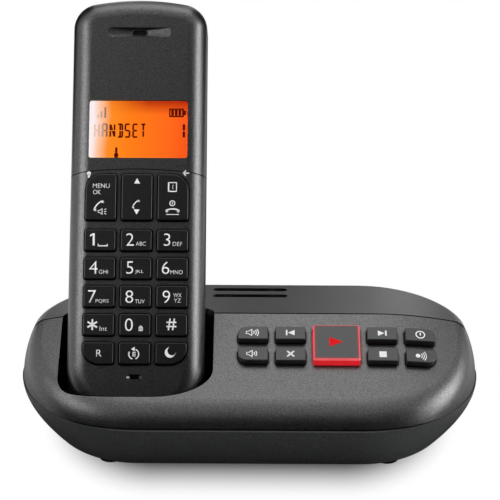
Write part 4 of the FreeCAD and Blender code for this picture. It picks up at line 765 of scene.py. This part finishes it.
def draw_character(sheet, x, y, kind):
    """One character of the display, from straight segments in a cell 1.5 mm wide and 4.7 mm tall."""
    half_w, half_t, row, stroke, upright = 0.75, 2.35, 1.2, 0.62, 2.1
    bars = {
        "t": (0, half_t, 1.5, stroke, 0), "e": (0, -half_t, 1.5, stroke, 0), "m": (0, 0, 1.3, stroke, 0),
        "f": (-half_w, row, stroke, upright, 0), "l": (-half_w, -row, stroke, upright, 0),
        "c": (half_w, row, stroke, upright, 0), "r": (half_w, -row, stroke, upright, 0),
        "u": (0, row, stroke, upright, 0), "v": (0, -row, stroke, upright, 0),
        "x": (-0.35, 1.1, stroke, 2.0, 16), "y": (0.35, -1.1, stroke, 2.0, 16),
    }
    letters = {
        "H": "flcrm", "A": "flcrmt", "N": "flcrxy", "D": "tecruv", "S": "tfmre", "E": "tflme", "T": "tuv",
    }
    for segment in letters[kind]:
        dx, dy, wide, tall, turn = bars[segment]
        draw_bar(sheet, x + dx, y + dy, wide, tall, turn)


def draw_battery(sheet, y):
    """A battery in outline at the upper right, with three full cells inside and a tip at its right."""
    for x in (12.15, 13.45, 14.75):
        draw_bar(sheet, x, y, 0.95, 2.1)
    for side in (-1, 1):
        draw_bar(sheet, 13.5, y + side * 1.35, 5.1, 0.5)
    draw_bar(sheet, 11.15, y, 0.5, 3.2)
    draw_bar(sheet, 15.9, y, 0.6, 3.2)
    draw_bar(sheet, 16.55, y, 0.8, 1.7)


def draw_display(sheet):
    """A generic word and a figure 1, the signal's bars, the battery, and a pin at the lower edge."""
    for column, letter in zip((-15.0, -12.2, -9.4, -6.6, -4.0, -1.2, 1.7), "HANDSET"):
        draw_character(sheet, column, 0, letter)
    for y in (-1.3, 1.3):
        draw_bar(sheet, 16.3, y, 0.85, 2.2)
    signal_foot = 4.7
    for x, tall in ((-14.7, 1.2), (-13.5, 2.4), (-12.1, 3.9)):
        draw_bar(sheet, x, signal_foot + tall / 2, 0.7, tall)
    draw_battery(sheet, 6.65)
    draw_disc(sheet, -7.9, -9.0, 0.8)
    draw_bar(sheet, -7.9, -7.4, 0.8, 2.4)


finish_nodes(make_backlight(), "display_module")
make_window_pane()
sheet = bmesh.new()
draw_display(sheet)
module_place = face_place("display_module", handset_out)
lay_film("display_segments", sheet, module_place, make_liquid_crystal(), "handset", lift=0.08)

# The keys of the handset: black caps moulded as one with their flanges, held under the keypad cover.
# There are three long rockers above and fifteen digit and function keys below, all printed in white,
# and two white marks are printed on the cover beside the rockers.


def draw_handset_mark(sheet, x, y, long, turn):
    """A telephone receiver: a slim bowed grip with a round cup at each end."""
    mark = bmesh.new()
    draw_arc(mark, 0, -1.12, 1.2, 0.1, 70, 110)
    for side in (-1, 1):
        draw_bar(mark, side * 0.41, -0.05, 0.18, 0.17, side * -18)
        draw_disc(mark, side * 0.42, -0.1, 0.085)
    spot = Matrix.Translation((x, y, 0)) @ Matrix.Rotation(math.radians(turn), 4, "Z")
    mark.transform(spot @ Matrix.Diagonal((long, long, 1, 1)))
    flat = bpy.data.meshes.new("receiver")
    mark.to_mesh(flat)
    mark.free()
    sheet.from_mesh(flat)
    bpy.data.meshes.remove(flat)


def draw_padlock(sheet):
    """A small padlock beside the nought, for the key lock: an outline with a keyhole."""
    x, y = 2.1, -1.55
    for side in (-1, 1):
        draw_bar(sheet, x + side * 0.55, y, 0.3, 1.3)
        draw_bar(sheet, x, y + side * 0.5, 1.4, 0.3)
    draw_bar(sheet, x, y, 0.35, 0.5)
    draw_arc(sheet, x, y + 0.65, 0.45, 0.28, 0, 180)


def draw_redial(sheet):
    """Two bent strokes, one of them with an arrowhead, go round a short list."""
    for first, last in ((-70, 70), (150, 255)):
        draw_arc(sheet, -0.2, -0.3, 1.75, 0.42, first, last)
    draw_shape(sheet, (-1.2, 1.5), (0.1, 2.3), (0.1, 0.7))
    for y in (-0.95, -0.3, 0.35):
        draw_bar(sheet, -0.05, y, 1.1, 0.3)
    draw_bar(sheet, -0.5, -0.3, 0.3, 1.5)


def draw_moon(sheet):
    """A slim crescent, open to the upper right: one arc out and a smaller one back."""
    outer = (-0.35, 0.35, 1.85, 115, 10, 24)
    inner = (0.35, 0.95, 1.6, 338, -10.3, 22)
    corners = []
    for x, y, radius, first, pace, steps in (outer, inner):
        for step in range(steps):
            turn = math.radians(first + step * pace)
            corners.append((x + radius * math.cos(turn), y + radius * math.sin(turn)))
    draw_shape(sheet, *corners)


def draw_rocker_mark(sheet, key):
    """The marks of one of the three rockers."""
    if key == "menu_talk_key":
        draw_words(sheet, "MENU", 0.1, 4.0, 1.6, 5.9)
        draw_words(sheet, "OK", -1.4, 1.7, 1.6, 2.7)
        draw_handset_mark(sheet, -0.9, -3.0, 4.7, 48)
        draw_loudspeaker(sheet, 0.6, -5.3, 2.3, 0)
        for turn in (-30, 0, 30):
            draw_bar(sheet, 1.7, -5.3 + turn / 30 * 0.8, 0.8, 0.24, turn)
    elif key == "up_down_key":
        draw_shape(sheet, (-1.05, 4.9), (1.05, 4.9), (0, 6.8))
        draw_handset_mark(sheet, -0.5, -2.5, 3.6, 52)
        draw_shape(sheet, (-1.05, -4.5), (0, -6.4), (1.05, -4.5))
    else:
        for x, wide in ((-1.6, 0.5), (1.2, 0.32)):
            draw_bar(sheet, x, 3.7, wide, 3.5)
        for y, tall in ((5.3, 0.32), (2.1, 0.4)):
            draw_bar(sheet, -0.2, y, 3.1, tall)
        draw_handset_mark(sheet, -0.1, 3.7, 1.5, 90)
        draw_arc(sheet, -0.2, -2.2, 0.9, 0.32, 0, 360)
        draw_bar(sheet, -0.2, -2.2, 0.3, 0.7)
        draw_handset_mark(sheet, -0.1, -4.65, 4.9, 0)
        draw_bar(sheet, -0.1, -6.25, 4.6, 0.25)


# A digit and its place on the key, then its letters with their place and width, in millimetres.
DIGITS = {
    "digit_2_key": ("2", -2.2, 0.2, "ABC", 1.65, -1.3, 3.5),
    "digit_3_key": ("3", -1.9, 0.2, "DEF", 1.75, -1.3, 3.3),
    "digit_4_key": ("4", -2.1, 0.2, "GHI", 1.45, -1.35, 3.2),
    "digit_5_key": ("5", -2.1, 0.2, "JKL", 1.3, -1.35, 3.0),
    "digit_6_key": ("6", -2.3, 0.2, "MNO", 1.6, -1.35, 4.3),
    "digit_7_key": ("7", -2.4, -0.1, "PQRS", 1.2, -1.75, 4.6),
    "digit_8_key": ("8", -2.1, -0.1, "TUV", 1.6, -1.75, 3.4),
    "digit_9_key": ("9", -1.9, -0.1, "WX", 2.0, 0.5, 2.9),
    "digit_0_key": ("0", -2.1, 0.0, "", 0, 0, 0),
}


def draw_cover_marks(sheet):
    """A dot with a short tail at the left, and an arrow to the left at the right."""
    draw_disc(sheet, -17.3, 8.7, 0.75)
    draw_bar(sheet, -17.2, 7.9, 0.7, 1.6, -20)
    draw_bar(sheet, 17.4, 9.0, 2.2, 0.45)
    for side in (-1, 1):
        draw_line(sheet, 16.35, 9.0, 17.2, 9.0 + side * 0.85, 0.42)


def draw_keypad_mark(sheet, key):
    """The digit, letters or sign of one of the fifteen small keys."""
    if key in DIGITS:
        digit, x, y, letters, letters_x, letters_y, letters_wide = DIGITS[key]
        draw_words(sheet, digit, x, y, 4.5)
        if letters:
            draw_words(sheet, letters, letters_x, letters_y, 1.4, letters_wide)
    if key == "digit_1_key":
        draw_bar(sheet, -2.2, 0.2, 0.72, 4.4)
        draw_shape(sheet, (-2.56, 2.4), (-3.5, 1.8), (-3.5, 1.15), (-2.56, 1.75))
        draw_bar(sheet, 1.05, -2.1, 3.5, 0.36)
        for x in (-0.55, 2.65):
            draw_bar(sheet, x, -1.8, 0.36, 0.8)
    elif key == "digit_9_key":
        draw_words(sheet, "YZ", 2.0, -1.4, 1.4, 2.4)
    elif key == "digit_0_key":
        draw_padlock(sheet)
    elif key == "star_key":
        for turn in (0, 60, 120):
            draw_bar(sheet, -2.1, 0, 0.62, 3.9, turn)
        draw_words(sheet, "Int", 1.8, -1.4, 1.6, 2.6)
    elif key == "hash_key":
        for side in (-1, 1):
            draw_bar(sheet, side * 0.75, 0.2, 0.5, 4.2, -8)
            draw_bar(sheet, 0, 0.2 + side * 0.75, 3.5, 0.5)
    elif key == "recall_key":
        draw_words(sheet, "R", 0.4, 0, 2.4)
    elif key == "redial_key":
        draw_redial(sheet)
    elif key == "mute_key":
        draw_moon(sheet)


# Deep in the gaps round the handset's keys, colour and glint are painted black, a painted shade.
black_key = make_moulded(
    "black_key_abs", "#101111", roughness=0.34, grain_mm=0.4, grain_deep_mm=0.02,
    glint=0.4, sparkle=0.1, seam_shade_mm=0.8,
)
for joint in frame["joints"]:
    key = joint["child"]
    if joint["parent"] != "handset" or not key.endswith("_key"):
        continue
    finish_nodes(black_key, key)
    sheet = bmesh.new()
    if key in ("menu_talk_key", "up_down_key", "book_end_key"):
        draw_rocker_mark(sheet, key)
    else:
        draw_keypad_mark(sheet, key)
    lay_film(key.replace("_key", "_mark"), sheet, face_place(key, handset_out), white_ink, key)

# The cover's marks are placed from the middle rocker, and lie lower than its face, on the cover's.
rocker_place = face_place("up_down_key", handset_out)
cover_place = face_place("handset_keypad_cover", handset_out)
drop = (rocker_place.translation - cover_place.translation).dot(handset_out)
sheet = bmesh.new()
draw_cover_marks(sheet)
marks_place = rocker_place @ Matrix.Translation((0, 0, -drop))
lay_film("cover_marks", sheet, marks_place, white_ink, "handset")

# The battery: two rechargeable AAA cells, steel cans in green shrink sleeves. They lie side by side in
# their bay behind the keypad, pressed by the contacts and shut in by the battery cover.
shrink_sleeve = make_moulded(
    "green_shrink_sleeve", "#2F7A48", roughness=0.3, grain_mm=1.2, grain_deep_mm=0.01
)
finish_nodes(shrink_sleeve, "battery_cells")
